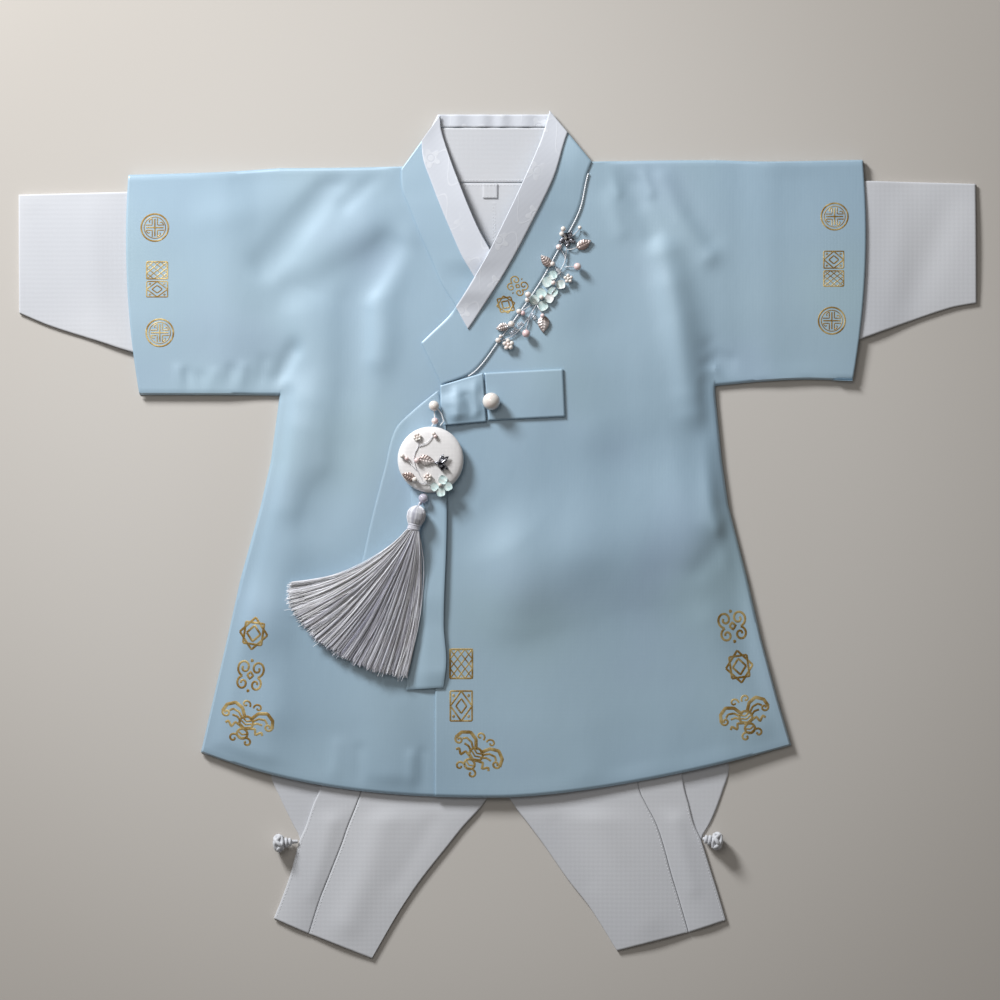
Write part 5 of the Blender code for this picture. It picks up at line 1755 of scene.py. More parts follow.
@dataclass
class Tassel(Part):
    """The ornament's tassel: silk threads fanned to the left over the ribbon's tails."""

    head: Place = (-54.7, 13.6)
    neck: Place = (-56.9, 3.0)
    rise: float = 5.7
    threads: int = 2400
    locks: int = 300
    stations: int = 11
    thread_radius: float = 0.16
    head_threads: int = 96
    windings: float = 4.5
    seed: int = 7
    rings: tuple[tuple[float, float, float], ...] = (
        (-6.2, 1.2, 1.2), (-4.8, 4.2, 3.8), (-1.5, 6.3, 5.5), (2.5, 6.3, 5.5),
        (6.0, 4.9, 4.4), (7.5, 3.8, 3.3), (10.8, 4.2, 3.3),
    )

    def bed(self) -> float:
        """Height of what the head lies on."""
        return float(self.cloth.ornament_bed(*np.array(self.head)))

    def ring_at(self, along: Array, angle: Array) -> Array:
        """Points on the head's skin at a distance along its axis and an angle round it."""
        marks = [ring[0] for ring in self.rings]
        size = math.dist(self.head, self.neck)
        step = ((self.neck[0] - self.head[0]) / size, (self.neck[1] - self.head[1]) / size)
        half = np.interp(along, marks, [ring[1] for ring in self.rings])
        tall = np.interp(along, marks, [ring[2] for ring in self.rings])
        x = self.head[0] + step[0] * along - step[1] * half * np.cos(angle)
        y = self.head[1] + step[1] * along + step[0] * half * np.cos(angle)
        return np.stack((x, y, self.bed() + self.rise + tall * np.sin(angle)), axis=-1)

    def fan(self) -> tuple[list[Array], Array]:
        """The fanned threads, in locks, and their shades: a random tone each, with a painted shadow band
        across the fan and painted light on its left part.
        """
        random = np.random.default_rng(self.seed)
        count = self.threads
        lock = random.integers(0, self.locks, count)
        place = np.clip((np.arange(self.locks) + random.uniform(0.1, 0.9, self.locks)) / self.locks, 0, 1)
        share = np.clip(place[lock] + random.normal(0.0, 0.0035, count), 0.0, 1.0)
        level = np.clip(random.random(self.locks)[lock] * 0.8 + random.random(count) * 0.2, 0.0, 1.0)
        stray = random.random(count) < 0.02
        tip_x, tip_y = TASSEL_TIPS.at(share)
        stretch = 1.0 + random.normal(0.0, 0.01, count) + 0.03 * (random.random(self.locks)[lock] - 0.6)
        stretch = stretch + np.where(stray, random.uniform(-0.06, 0.05, count), 0.0)
        tip_x = self.neck[0] + (tip_x - self.neck[0]) * stretch
        tip_y = self.neck[1] + (tip_y - self.neck[1]) * stretch
        spread = mix(3.9, -3.9, share) + random.normal(0.0, 0.25, count)
        root_x = self.neck[0] + 0.979 * spread
        root_y = self.neck[1] - 0.203 * spread
        bow = np.where(stray, 2.1, 1.0) + random.normal(0.0, 0.06, count)
        bend_x = 0.5 * (root_x + tip_x) + bow * (9.0 * (1.0 - share) ** 2 + 16.0 * share**2)
        bend_y = 0.5 * (root_y + tip_y) + bow * (4.0 * (1.0 - share) ** 2 - 14.0 * share**2)
        sway = random.uniform(0.0, TURN, self.locks)[lock]
        t = np.linspace(0.0, 1.0, self.stations)[:, None]
        wave = 0.9 * np.sin(TURN * (0.8 * t + sway)) * np.sin(math.pi * t)
        x = (1 - t) ** 2 * root_x + 2 * t * (1 - t) * bend_x + t**2 * tip_x + wave * 0.6
        y = (1 - t) ** 2 * root_y + 2 * t * (1 - t) * bend_y + t**2 * tip_y - wave * 0.6
        bed = self.cloth.ornament_bed(x, y) + 0.35 + self.thread_radius
        root_z = self.rise + 2.6 * (2.0 * level - 1.0)
        flat = mix(0.35, 1.0, smooth(share / 0.22))
        z = bed + mix(root_z, flat * level * mix(6.2, 3.6, t), smooth(t / 0.4))
        lines = [np.stack((x[:, i], y[:, i], z[:, i]), axis=-1) for i in range(count)]
        tone = random.random(self.locks)[lock] * 0.6 + random.random(count) * 0.7 - 0.1
        # painted shadow: a darker band of threads across the fan; painted light: the fan's left part lighter
        shadow = 0.3 * np.exp(-(((share - 0.34) / 0.14) ** 2))
        lit = 0.92 + 0.5 * smooth((share - 0.5) / 0.35)
        return lines, np.clip(np.clip(tone, 0.0, 1.0) ** 0.7 * (1.0 - shadow) * lit, 0.0, 1.0)

    def build(self) -> None:
        """Builds the fan, the grooved head, its wrapped neck and the loop on top."""
        lines, tones_with_painted_light = self.fan()
        random = np.random.default_rng(self.seed + 1)
        along = np.linspace(-6.1, 8.6, 16)
        for index in range(self.head_threads):
            angle = TURN * (index + random.uniform(-0.3, 0.3)) / self.head_threads
            lines.append(self.ring_at(along, np.full(along.shape, angle)))
        tones_with_painted_light = np.concatenate((tones_with_painted_light, random.uniform(0.25, 1.0, self.head_threads)))
        threads = grown(lines_object("tassel_threads", lines, tones_with_painted_light), thread_tree(self.finishes.thread),
                        Thread_radius=self.thread_radius * MM, Thread_sides=3)
        settle(threads, "tassel_thread", "tassel")
        count, sides = 18, 16
        angles = TURN * np.arange(sides) / sides
        marks = np.linspace(-6.2, 10.8, count)
        skin = np.concatenate([self.ring_at(np.full(sides, mark), angles) for mark in marks])
        spine = np.repeat(skin.reshape(count, sides, 3).mean(axis=1), sides, axis=0)
        core = Solid((spine + (skin - spine) * 0.95, rod_faces(count, sides)))
        turn = np.linspace(0.0, TURN * self.windings, 90)
        core.add(tube(self.ring_at(mix(6.7, 9.9, turn / turn[-1]), turn), 0.5))
        loop = np.array([(-51.6, 22.4, 0.0), (-52.6, 21.4, 1.4), (-53.4, 19.9, 1.2), (-53.6, 18.6, -0.6)])
        core.add(tube(loop + (0.0, 0.0, self.bed() + 3.6), 0.45))
        core.make("tassel_head", "tassel_thread", [], self.finishes.thread_plain)


@dataclass
class Ornament(Part):
    """What hangs above the tassel: pearls, a string, and a padded disc with wired trims."""

    disc_sides: int = 96
    pearls: tuple[Bead, ...] = beads(
        *cluster(-54.1, 66, 1.9, 1.05, 6), (-43, 68.3, 1.4), (-42, 66.6, 1.3, 1), (-64.3, 53.2, 1.6),
        (-61.3, 51.6, 1.5, 1), (-54.4, 50.2, 1.9, 1), (-55.9, 37.3, 1.8), *cluster(-47.1, 38.9, 1.9, 1.1),
        (-38.8, 33.6, 1.4),
    )
    wires: tuple[Line, ...] = (
        line(-43.2, 67, -47.5, 62.5, -53, 59.6),
        line(-54.1, 64.2, -53.4, 60.2, -56, 54.4, -56.2, 48.6, -53.6, 42.4, -50.4, 36.6, -45.8, 33.6),
        line(-60.4, 50.8, -57.6, 46.8, -54.8, 43.6), line(-53, 50, -46, 49.6, -40.6, 48.6),
        line(-56, 37.6, -52.6, 35.4, -47, 34.4),
    )
    leaves: tuple[Leaf, ...] = (
        Leaf(-48, 50.4, 11.5, 6.8, -12, crown=0.6), Leaf(-60, 39.4, 9.6, 6, 158, crown=0.6),
    )
    wings: tuple[Leaf, ...] = (
        Leaf(-37.8, 51.4, 6.6, 3, 66, 1), Leaf(-36, 50.6, 8, 3.2, 38, 1),
        Leaf(-36.4, 46.4, 8, 3.2, -34, 1), Leaf(-38, 45.6, 6.4, 3, -62, 1),
        Leaf(-40.6, 48.6, 4.4, 2, 176, 1),
    )
    petals: tuple[Petal, ...] = (
        Petal(-36.9, 37.2, 2.9, 62), Petal(-33.4, 32.6, 2.8, 24), Petal(-38.3, 28.8, 2.9, 8),
        Petal(-42.6, 32.4, 2.7, 40),
    )
    disc_profile: tuple[Place, ...] = (
        (0.0, 1.0), (0.3, 0.98), (0.55, 0.93), (0.75, 0.84), (0.88, 0.68), (0.95, 0.46), (0.99, 0.18),
        (1.0, -0.1), (0.99, -0.4), (0.96, -0.7), (0.9, -0.93), (0.8, -1.0), (0.4, -1.0), (0.0, -1.0),
    )
    string_radius: float = 0.45
    link_place: Place = (-52.2, 21.2)

    def padded_disc(self) -> Object:
        """The disc: silk drawn over a pad, with fine gathers round its edge."""
        middle, size = box_of("disc")
        radius, half = 0.5 * size[0], 0.5 * size[2]
        points, faces = turned([(radius * r, half * z) for r, z in self.disc_profile], self.disc_sides)
        angle = np.arctan2(points[:, 1], points[:, 0])
        near = smooth((np.hypot(points[:, 0], points[:, 1]) / radius - 0.8) / 0.15)
        gather = 1.0 - 0.0016 * near * (1.0 + np.cos(32.0 * angle) + 0.4 * np.cos(7.0 * angle + 1.0))
        points[:, :2] *= gather[:, None]
        made = Solid((points + middle, faces)).make("disc_pad", "disc_silk", ["disc"], self.finishes.silk)
        return made

    def mounted(self, ground: Ground) -> None:
        """Builds the leaves, the butterfly, the flower and their wires on the disc."""
        given = self.finishes
        metal, dark, mint = Solid(), Solid(), Solid()
        for route in self.wires:
            metal.add(wire(route, ground, 0.28, 0.45, 0.5), 1)
        for leaf in self.leaves:
            metal.add(leaf.body(ground.at(leaf.x, leaf.y) + 0.5))
        metal.make("disc_leaves", "silver_leaf", ["disc_leaf_1", "disc_leaf_2"], given.leaf, given.wire)
        for wing in self.wings:
            dark.add(wing.body(ground.at(-38.0, 48.0) + 0.9))
        dark.make("disc_butterfly_wings", "dark_silver", ["disc_butterfly"], given.dark)
        for petal in self.petals:
            mint.add(petal.body(ground.at(-40.0, 35.0) + 0.3))
        mint.make("disc_petals", "mint_petal", ["disc_flower"], given.mint)

    def strung(self, ground: Ground) -> None:
        """Builds the pearls, the string that they hang on and the bead that links the tassel."""
        given = self.finishes
        small, cords, link = Solid(), Solid(), Solid()
        for bead in self.pearls:
            place = (bead.x, bead.y, ground.at(bead.x, bead.y) + bead.radius + 0.35)
            small.add(ball(place, bead.radius), int(bead.pink))
        for node, pink in (("pearl_small", 0), ("hanging_bead", 1)):
            middle, size = box_of(node)
            small.add(ball(middle, 0.5 * size[0], 14, 24), pink)
        small.make("ornament_pearls", "pearl", ["pearl_small", "hanging_bead"], given.pearl, given.pink)
        upper, lower = box_of("pearl_small")[0], box_of("hanging_bead")[0]
        disc_top = box_of("disc")[0] + (0.8, 22.6, 0.6)
        cords.add(tube(np.array([upper, 0.5 * (upper + lower), lower, disc_top]), self.string_radius))
        loop = [upper + (1.4, -0.6, 0.8), lower + (4.4, 5.0, 1.2), lower + (6.0, 0.0, 1.0),
                lower + (3.6, -3.0, 0.4)]
        cords.add(tube(np.array(loop), 0.42))
        cords.make("ornament_string", "piping_cord", ["hanging_string"], given.cord)
        middle, size = box_of("link_bead")
        link.add(ball(middle, 0.5 * size[0], 14, 24))
        link.add(ball((*self.link_place, middle[2]), 1.3))
        link.make("ornament_link", "lavender_bead", ["link_bead"], given.bead)

    def build(self) -> None:
        """Builds the pad, then everything mounted on it and above it."""
        ground = Ground([self.padded_disc()])
        self.mounted(ground)
        self.strung(ground)


@dataclass
class Spray(Part):
    """The wired spray of pearls, leaves and small flowers along the collar's cord."""

    ground: Ground
    pearls: tuple[Bead, ...] = beads(
        (44.6, 207.2, 1.8), (43.6, 203.7, 1.8), (55.8, 208.2, 1.4), (41.6, 194.9, 2, 1),
        (37.4, 183.5, 1.7), (54.2, 181.7, 2.6, 1), *cluster(48, 173.6, 2.1, 1.25), (37.9, 170.6, 1.6, 1),
        (29.8, 160.8, 1.6), (20.7, 162.6, 2.1), (20.2, 158.9, 1.7), (14.6, 151.2, 1.9),
        (17.2, 150, 1.7, 1), (30.5, 148.4, 1.5, 1), (9.4, 142.6, 2.3), (19.4, 136.2, 2.8, 1),
        (0.4, 131.6, 1.9), (2.2, 134.4, 1.3), *cluster(7.4, 128.8, 2.5, 1.6), (46, 201.2, 1.3),
    )
    leaves: tuple[Leaf, ...] = (
        Leaf(58.6, 197, 11.2, 6.8, 28), Leaf(32.8, 185.6, 10.2, 6.2, 132),
        Leaf(31.2, 142.8, 11.8, 7.8, -92), Leaf(3.2, 140.6, 8.6, 5.6, 196),
    )
    dark_petals: tuple[Leaf, ...] = tuple(
        Leaf(47.4 + 3.2 * math.cos(math.radians(angle)), 200.6 + 3.2 * math.sin(math.radians(angle)),
             6.2, 3.8, angle, 3.0, 0.3, crown=0.5)
        for angle in (62, 134, 200, 268, 338)
    )
    petals: tuple[Petal, ...] = (
        Petal(33.6, 171.4, 3.4, 32), Petal(37.4, 176, 2.9, 20), Petal(29.6, 163.6, 3.4, 38),
        Petal(37.4, 164.4, 3.3, 50), Petal(24.8, 159.2, 3.2, 34), Petal(30.8, 155.2, 3.3, 30),
        Petal(42.8, 169.6, 3, 10, cup=1, opaque=True), Petal(35, 160.2, 3, 60, cup=1, opaque=True),
    )
    wires: tuple[Line, ...] = (
        line(46.8, 199, 46.6, 192, 45.2, 184, 41.4, 177.4, 38.6, 172),
        line(42.2, 194.4, 45.4, 189.2, 45.9, 184.6), line(55.6, 207.4, 52, 203.6, 48.4, 200.8),
        line(55.2, 195.4, 50.6, 193.6, 46.8, 193.4), line(37.8, 183, 41, 178.8, 43.2, 175),
        line(53.4, 181.4, 49.4, 181.8, 45.2, 181.4), line(35.4, 161, 38.6, 166.4, 44.6, 171),
        line(29, 160, 25.4, 154.2, 21.8, 148.4, 16, 140.2, 10, 134.6, 3, 131.6),
        line(30.6, 149.6, 28.4, 152.8, 26.6, 156.2), line(19, 137.4, 20.4, 143, 22.4, 148.6),
        line(9.4, 142.6, 12.8, 139.4, 15, 138.6), line(15.6, 150.8, 19, 153.2, 24.2, 156.4),
    )
    springs: tuple[tuple[Place, Place], ...] = (
        ((22.8, 150.4), (25.6, 146)), ((12.4, 139.2), (8.6, 135.4)), ((17.2, 143.6), (13.4, 142)),
        ((40.2, 180), (43, 177)),
    )
    lift: float = 0.9

    def build(self) -> None:
        """Builds the wires, leaves, flowers and pearls."""
        ground, given = self.ground, self.finishes
        metal, dark, mint, small = Solid(), Solid(), Solid(), Solid()
        for route in self.wires:
            metal.add(wire(route, ground, 0.32, self.lift, 1.2), 1)
        for start, end in self.springs:
            metal.add(spring(start, end, ground), 1)
        for leaf in self.leaves:
            metal.add(leaf.body(ground.at(leaf.x, leaf.y) + self.lift))
        nodes = [*(f"spray_leaf_{n}" for n in range(1, 5)), "spray_stem_1", "spray_stem_2"]
        metal.make("spray_leaves", "silver_leaf", nodes, given.leaf, given.wire)
        for petal in self.dark_petals:
            dark.add(petal.body(ground.at(47.4, 200.6) + self.lift + 0.6))
        dark.make("spray_dark_flower", "dark_silver", ["spray_flower_1"], given.dark)
        for petal in self.petals:
            height = ground.at(petal.x, petal.y) + self.lift + 0.7 * petal.opaque
            mint.add(petal.body(height), int(petal.opaque))
        nodes = ["spray_flower_2", "spray_flower_3"]
        mint.make("spray_petals", "mint_petal", nodes, given.mint, given.nacre)
        for bead in self.pearls:
            place = (bead.x, bead.y, ground.at(bead.x, bead.y) + self.lift + bead.radius + 0.9)
            small.add(ball(place, bead.radius, 10, 16), int(bead.pink))
        nodes = ["spray_flower_4", *(f"spray_pearl_{n}" for n in range(1, 5))]
        small.make("spray_pearls", "pearl", nodes, given.pearl, given.pink)


@dataclass
class Cords(Part):
    """The collar's cord, the pearl button and the knot buttons at the ankles."""

    cord_radius: float = 0.5
    ply_radius: float = 0.34
    ply_pitch: float = 3.2
    start: float = 0.045
    end: float = 0.9
    knots: tuple[tuple[str, Place, Place], ...] = (
        ("left", (-153.7, -209.6), (-135.9, -208.4)), ("right", (154.2, -208.6), (139.6, -206.6)),
    )
    knot_radius: float = 4.3
    strand_radius: float = 1.35

    def piping(self) -> None:
        """The two-ply cord along the collar's outer edge."""
        x, y = OVER_COLLAR.outer.at(np.linspace(self.start, self.end, 720))
        run_x, run_y = np.gradient(x), np.gradient(y)
        size = np.hypot(run_x, run_y)
        x, y = x - run_y / size, y + run_x / size
        z = self.cloth.over_front(x, y) + self.cloth.layer + self.cord_radius + 0.1
        angle = TURN * travel(np.stack((x, y), axis=-1)) / self.ply_pitch
        solid = Solid()
        for phase in (0.0, math.pi):
            out = 0.2 * np.cos(angle + phase)
            route = np.stack((x - run_y / size * out, y + run_x / size * out,
                              z + 0.2 * np.sin(angle + phase)), axis=-1)
            solid.add(tube(route, self.ply_radius, 7))
        solid.make("collar_cord", "piping_cord", ["piping"], self.finishes.cord)

    def knot_button(self, side: str, outer: Place, inner: Place) -> None:
        """A button knotted from cloth cord, with its stalk running into the flap."""
        middle, size = box_of(f"knot_button_{side}")
        run = np.array([inner[0] - outer[0], inner[1] - outer[1], 0.0])
        run /= np.linalg.norm(run)
        across = np.array([-run[1], run[0], 0.0])
        up = np.array([0.0, 0.0, 1.0])
        level = middle[2] - 0.5 * size[2] + 5.7
        centre = np.array([outer[0], outer[1], level]) + run * 5.4
        solid = Solid(ball(centre, self.knot_radius, 10, 16))
        turn = np.linspace(0.0, TURN, 221)
        lean = 0.62 * np.sin(4.0 * turn)
        reach = self.knot_radius + 0.25 + 0.45 * np.cos(8.0 * turn)
        spin = 3.0 * turn
        ring = (np.cos(lean) * np.cos(spin))[:, None] * across + (np.cos(lean) * np.sin(spin))[:, None] * up
        route = centre + reach[:, None] * (ring + np.sin(lean)[:, None] * run)
        solid.add(tube(route, self.strand_radius, 8))
        for place, wide in ((5.0, 2.4), (7.4, 1.9)):
            loop = centre + run * place + wide * (
                np.cos(turn[::8])[:, None] * across + np.sin(turn[::8])[:, None] * up)
            loop[:, 2] -= 0.45 * (place - 4.0)
            solid.add(tube(loop, 1.15, 8))
        end = np.array([inner[0], inner[1], middle[2] - 0.5 * size[2] + 2.2])
        stalk = np.array([centre + run * 2.0, centre + run * 6.0 - up * 1.0, 0.4 * centre + 0.6 * end, end])
        solid.add(tube(stalk, np.array([1.9, 1.8, 1.5, 1.2]), 10))
        solid.make(f"knot_{side}", "white_cloth", [f"knot_button_{side}"], self.finishes.white)

    def button(self) -> None:
        """The large pearl button that closes the ribbon."""
        middle, size = box_of("pearl_button")
        solid = Solid(ball(middle, 0.5 * size[0], 28, 48))
        solid.make("button_pearl", "pearl", ["pearl_button"], self.finishes.pearl)

    def build(self) -> None:
        """Builds the cord and the buttons."""
        for row in self.knots:
            self.knot_button(*row)
        self.piping()
        self.button()


class Motif(Enum):
    """The foil motifs, each drawn by strokes in a square of size one."""

    LOZENGES = "framed lozenges"
    STAR = "eight-pointed star"
    LATTICE = "slanted lattice"
    SCROLL = "cloud scroll"
    ROUNDEL = "fret roundel"
    BAT = "bat"


def trace(*numbers: float) -> Array:
    """Points from the x and y of each."""
    return np.array(numbers, float).reshape(-1, 2)


def arc(x: float, y: float, start_radius: float, end_radius: float, start: float, end: float,
        steps: int = 18) -> Array:
    """Points of an arc or a spiral, its angles in degrees."""
    angle = np.radians(np.linspace(start, end, steps))
    radius = np.linspace(start_radius, end_radius, steps)
    return np.stack((x + radius * np.cos(angle), y + radius * np.sin(angle)), axis=-1)


def circle(y: float, radius: float, steps: int) -> Array:
    """Points of a full circle round a place on the middle line."""
    return arc(0.0, y, radius, radius, 0.0, 360.0, steps)


def mirrored(strokes: Sequence[Stroke]) -> list[Stroke]:
    """Strokes and their mirror images across the middle."""
    return [*strokes, *((points * (-1.0, 1.0), width) for points, width in strokes)]


def motif_strokes(motif: Motif) -> list[Stroke]:
    """The strokes of a motif, each with its width.

    Args:
        motif: which motif.

    Returns:
        Each stroke's points and width, in shares of the motif's size.
    """
    pen = 0.075
    frame_line = trace(-0.46, -0.46, -0.46, 0.46, 0.46, 0.46, 0.46, -0.46, -0.46, -0.46)
    lozenge = trace(-0.46, 0.0, 0.0, 0.46, 0.46, 0.0, 0.0, -0.46, -0.46, 0.0)
    if motif is Motif.LOZENGES:
        dots = [(0.1 * lozenge + (x, y), 0.06) for x in (-0.32, 0.32) for y in (-0.32, 0.32)]
        return [(frame_line, pen), (lozenge, pen), (0.5 * lozenge, pen), *dots]
    if motif is Motif.STAR:
        return [(lozenge, pen), (0.5 * lozenge, pen), (0.66 * frame_line, pen)]
    if motif is Motif.LATTICE:
        slants = [trace(-0.46, y, y, -0.46) for y in (-0.15, 0.15, 0.46)]
        slants += [-points for points in slants[:2]]
        return [(frame_line, pen), *mirrored([(points, 0.055) for points in slants])]
    if motif is Motif.SCROLL:
        half = [(arc(0.22, 0.2, 0.24, 0.05, -80.0, 400.0, 30), pen),
                (arc(0.22, -0.24, 0.2, 0.05, 80.0, -370.0, 26), pen)]
        return [*mirrored(half), (0.22 * lozenge, pen), (0.08 * lozenge + (0.0, 0.42), 0.06),
                (0.08 * lozenge - (0.0, 0.44), 0.06)]
    if motif is Motif.ROUNDEL:
        rings = [(circle(0.0, 0.47, 49), 0.06), (circle(0.0, 0.37, 41), 0.035)]
        cross = [(trace(-0.3, 0.0, 0.3, 0.0), 0.05), (trace(0.0, -0.3, 0.0, 0.3), 0.05)]
        fret = trace(0.09, 0.32, 0.09, 0.09, 0.32, 0.09, 0.24, 0.2, 0.17, 0.17)
        turns = [trace(1, 0, 0, 1), trace(0, 1, -1, 0), trace(-1, 0, 0, -1),
                 trace(0, -1, 1, 0)]
        return [*rings, *cross, *((fret @ turn, 0.04) for turn in turns)]
    wing = [
        (trace(0.05, 0.12, 0.16, 0.3, 0.32, 0.36, 0.46, 0.26, 0.5, 0.1), 0.07),
        (arc(0.42, 0.1, 0.08, 0.02, 0.0, -400.0, 24), 0.045),
        (trace(0.08, -0.06, 0.2, -0.02, 0.24, -0.14, 0.33, -0.04, 0.37, -0.1), 0.05),
        (trace(0.1, 0.1, 0.2, 0.2, 0.32, 0.22, 0.38, 0.16), 0.045),
        (trace(0.1, 0.03, 0.2, 0.1, 0.3, 0.1), 0.045),
        (arc(0.12, 0.4, 0.09, 0.02, 200.0, -160.0, 20), 0.04),
        (arc(0.13, -0.34, 0.1, 0.02, 150.0, -230.0, 20), 0.045),
    ]
    body = [(circle(0.04, 0.13, 25), 0.05), (circle(-0.2, 0.1, 21), 0.05)]
    bars = [(trace(-0.1, y, 0.0, y - 0.05, 0.1, y), 0.035) for y in (0.12, 0.05, -0.02, -0.17, -0.24)]
    return [*mirrored(wing), *body, *bars]


@dataclass(frozen=True)
class Print:
    """One foil print: its motif, middle, width, height, turn in degrees, and whether it is mirrored."""

    motif: Motif
    x: float
    y: float
    width: float
    height: float
    turn: float = 0.0
    mirror: bool = False


@dataclass
class Foil(Part):
    """The gold foil prints on sleeves, skirt and collar."""

    ground: Ground
    step: float = 1.1
    rise: float = 0.09
    prints: tuple[Print, ...] = (
        Print(Motif.ROUNDEL, -232.6, 208.4, 19.6, 19.6), Print(Motif.ROUNDEL, -229.2, 137, 19.6, 19.6),
        Print(Motif.LATTICE, -231, 179.4, 15.4, 12.6), Print(Motif.LOZENGES, -231, 166.6, 15.4, 11.4),
        Print(Motif.ROUNDEL, 228.8, 215.9, 19.2, 19.2), Print(Motif.ROUNDEL, 226.9, 145.2, 19.2, 19.2),
        Print(Motif.LOZENGES, 228.2, 186.6, 14.6, 12.4), Print(Motif.LATTICE, 228.2, 173.8, 14.6, 11.4),
        Print(Motif.STAR, -165.4, -67, 20.6, 24, -8), Print(Motif.SCROLL, -167.8, -95.4, 20.4, 24, -8),
        Print(Motif.LATTICE, -24.6, -87.6, 16.4, 21.4), Print(Motif.LOZENGES, -24.6, -116.2, 16, 22),
        Print(Motif.SCROLL, 159.6, -62, 21.4, 24, 8), Print(Motif.STAR, 164.2, -89.6, 20, 24, 8),
        Print(Motif.BAT, -170.9, -128.8, 36, 33, -20), Print(Motif.BAT, -15.3, -150.2, 36, 33, -34),
        Print(Motif.BAT, 169, -125.2, 34, 33, 20, True), Print(Motif.SCROLL, 13.6, 168.6, 15, 13, -32),
        Print(Motif.STAR, 5.6, 156, 15, 13.6, -32),
    )

    def stroke(self, points: Array, width: float) -> Body:
        """A low ridge of foil along a stroke on the cloth."""
        marks = travel(points)
        count = max(3, math.ceil(marks[-1] / self.step) + 1)
        reach = np.linspace(0.0, marks[-1], count)
        x, y = np.interp(reach, marks, points[:, 0]), np.interp(reach, marks, points[:, 1])
        run_x, run_y = np.gradient(x), np.gradient(y)
        size = np.maximum(np.hypot(run_x, run_y), 1e-6)
        side_x, side_y = -run_y / size * 0.5 * width, run_x / size * 0.5 * width
        rows = []
        for share, rise in ((1.0, 0.03), (0.5, self.rise), (-0.5, self.rise), (-1.0, 0.03)):
            px, py = x + side_x * share, y + side_y * share
            rows.append(np.stack((px, py, self.ground.over(px, py) + rise), axis=-1))
        return np.stack(rows, axis=1).reshape(-1, 3), rod_faces(count, 4)

    def build(self) -> None:
        """Builds all prints as one thin piece."""
        solid = Solid()
        for item in self.prints:
            for points, width in motif_strokes(item.motif):
                u = points[:, 0] * item.width * (-1.0 if item.mirror else 1.0)
                v = points[:, 1] * item.height
                places = np.stack(turned_place(item.x, item.y, u, v, item.turn), axis=-1)
                solid.add(self.stroke(places, width * min(item.width, item.height)))
        solid.make("foil_prints", None, [], self.finishes.foil)


@dataclass
class Sewing(Part):
    """The rows of stitches that show: round the label, along the flaps and inside the neck."""

    ground: Ground
    spacing: float = 2.2
    thread_radius: float = 0.17
    stretch: float = 3.4
    inset: float = 1.6
    shown_y: float = -184.0
    neck_rows: tuple[Line, ...] = (
        line(-25.6, 240.8, 16.8, 240.8), line(-24.4, 237.2, 15, 237.2), line(-2.9, 225, -2.9, 200),
        line(-1.7, 225, -1.7, 201),
    )

    def laid(self, x: Array, y: Array) -> Array:
        """A row's points on the cloth."""
        return np.stack((x, y, self.ground.over(x, y) + 0.06), axis=-1)

    def build(self) -> None:
        """Builds every row as one piece."""
        rows = []
        for side, sign in (("left", 1.0), ("right", -1.0)):
            for edge in (FLAP_EDGE[side], LEG_SEAM[side]):
                x, y = edge.at(np.linspace(0.0, 1.0, 160))
                shown = y < self.shown_y
                rows.append(self.laid(x[shown] + sign * self.inset, y[shown]))
        rows += [self.laid(*row.at(np.linspace(0.0, 1.0, 24))) for row in self.neck_rows]
        middle, size = box_of("label")
        for sign in (-1.0, 1.0):
            along = np.linspace(-0.46, 0.46, 12) * size[0]
            rows.append(self.laid(middle[0] + along, np.full(12, middle[1] + sign * 0.42 * size[1])))
        stitches = lines_object("stitches", rows, [0.5] * len(rows))
        grown(stitches, stitch_tree(self.finishes.sewing), Spacing=self.spacing * MM,
              Thread_radius=self.thread_radius * MM, Stretch=self.stretch)
        settle(stitches, "white_cloth")


# The studio


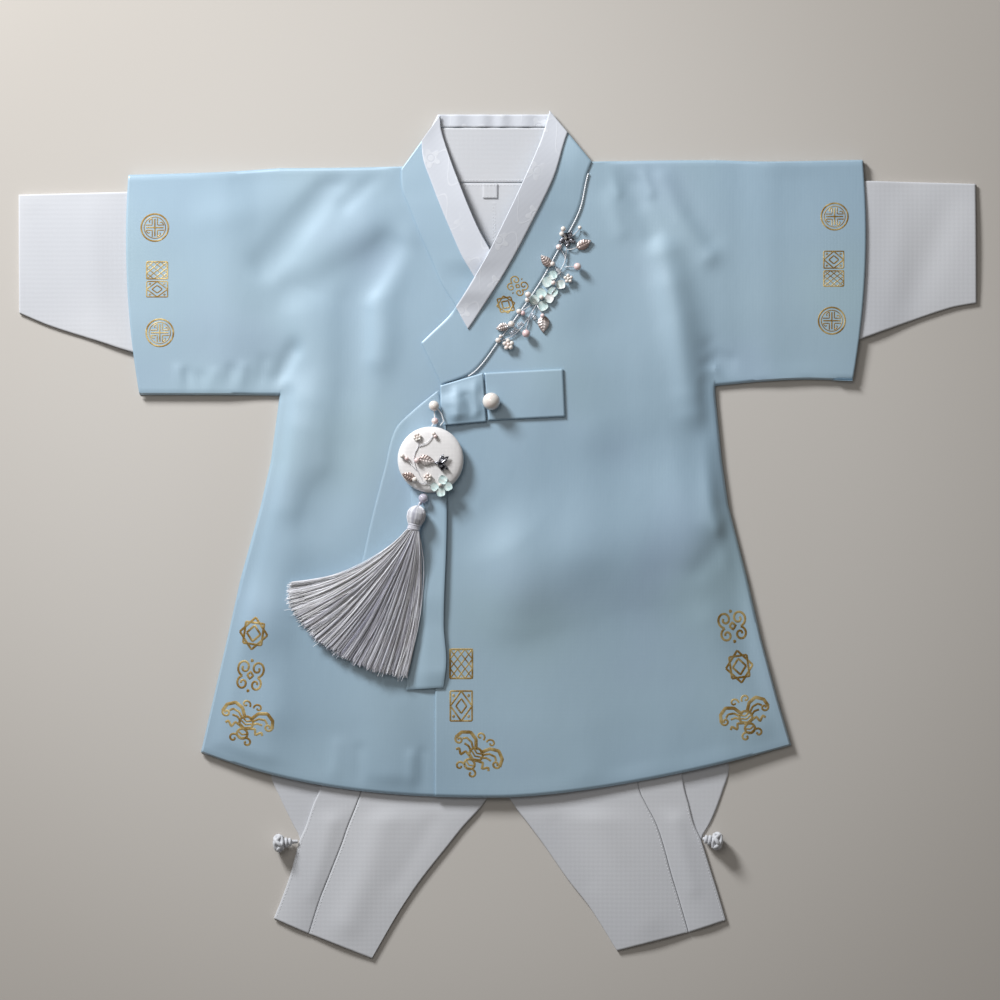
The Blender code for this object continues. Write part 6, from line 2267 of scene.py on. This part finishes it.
@dataclass
class Studio:
    """The plain floor, the soft light from the upper left and the camera straight above."""

    frame_width: float = 680.0
    middle: Place = (1.7, 23.5)
    lens: float = 150.0
    sensor: float = 36.0
    floor_size: float = 6000.0

    def floor(self) -> None:
        """Builds the surface that the garment lies on, its colour darkening away from the middle as painted
        light falloff.
        """
        half = 0.5 * self.floor_size
        points = [(-half, -half, -0.1), (half, -half, -0.1), (half, half, -0.1), (-half, half, -0.1)]
        made = mesh_object("floor", np.array(points), [(0, 1, 2, 3)])
        graph = Graph("floor_paper")
        x, y = graph.axes(graph.place())
        reach = graph.math("SQRT", x * x + y * y)
        # painted light falloff: the floor's colour darkens with distance from the middle
        tint = graph.blend(linear(202, 197, 191), linear(186, 180, 173), graph.ramp(reach, 0.22, 0.5))
        made.data.materials.append(graph.dress(Base_Color=tint, Roughness=0.85, Specular_IOR_Level=0.2))

    def light(self, name: str, place: tuple[float, float, float], size: float, power: float,
              colour: tuple[float, float, float]) -> None:
        """Adds a square soft light that faces the garment.

        Args:
            name: the light's name.
            place: where it stands, in metres.
            size: the length of its side, in metres.
            power: its power in watts.
            colour: its colour.
        """
        data = bpy.data.lights.new(name, "AREA")
        data.shape = "SQUARE"
        data.size = size
        data.energy = power
        data.color = colour
        made = linked(name, data)
        made.location = place
        made.rotation_mode = "QUATERNION"
        made.rotation_quaternion = (-Vector(place)).to_track_quat("-Z", "Y")

    def camera(self) -> None:
        """Stands the camera straight above the middle of the photographed frame."""
        data = bpy.data.cameras.new("camera")
        data.lens = self.lens
        data.sensor_width = self.sensor
        distance = self.frame_width * MM * self.lens / self.sensor
        data.clip_end = 4.0 * distance
        made = linked("camera", data)
        made.location = (self.middle[0] * MM, self.middle[1] * MM, distance)
        bpy.context.scene.camera = made

    def build(self) -> None:
        """Builds the floor, the lights, the surroundings and the camera."""
        self.floor()
        self.light("key", (-0.9, 1.2, 0.78), 0.4, 37.0, (0.96, 0.98, 1.0))
        self.light("fill", (-0.5, 0.66, 1.9), 0.9, 6.0, (1.0, 0.98, 0.95))
        world = bpy.data.worlds.new("room")
        world.use_nodes = True
        room = world.node_tree.nodes["Background"].inputs
        room["Color"].default_value, room["Strength"].default_value = (1.0, 0.97, 0.93, 1.0), 0.13
        bpy.context.scene.world = world
        bpy.context.scene.view_settings.view_transform = "Standard"
        self.camera()


def main() -> None:
    """Builds the garment's sub-assemblies in the order of their layers, and the studio."""
    logging.basicConfig(level=logging.INFO, format="%(message)s")
    finishes = make_finishes()
    Studio().build()
    legs = Trousers(finishes).build()
    cloth = Jacket(finishes).build() + Sleeves(finishes).build() + Collar(finishes).build()
    ribbon = Ribbon(finishes).build()
    Tassel(finishes).build()
    Ornament(finishes).build()
    Cords(finishes).build()
    ground = Ground(legs + cloth + ribbon)
    Spray(finishes, ground).build()
    Foil(finishes, ground).build()
    Sewing(finishes, ground).build()


if __name__ == "__main__":
    main()
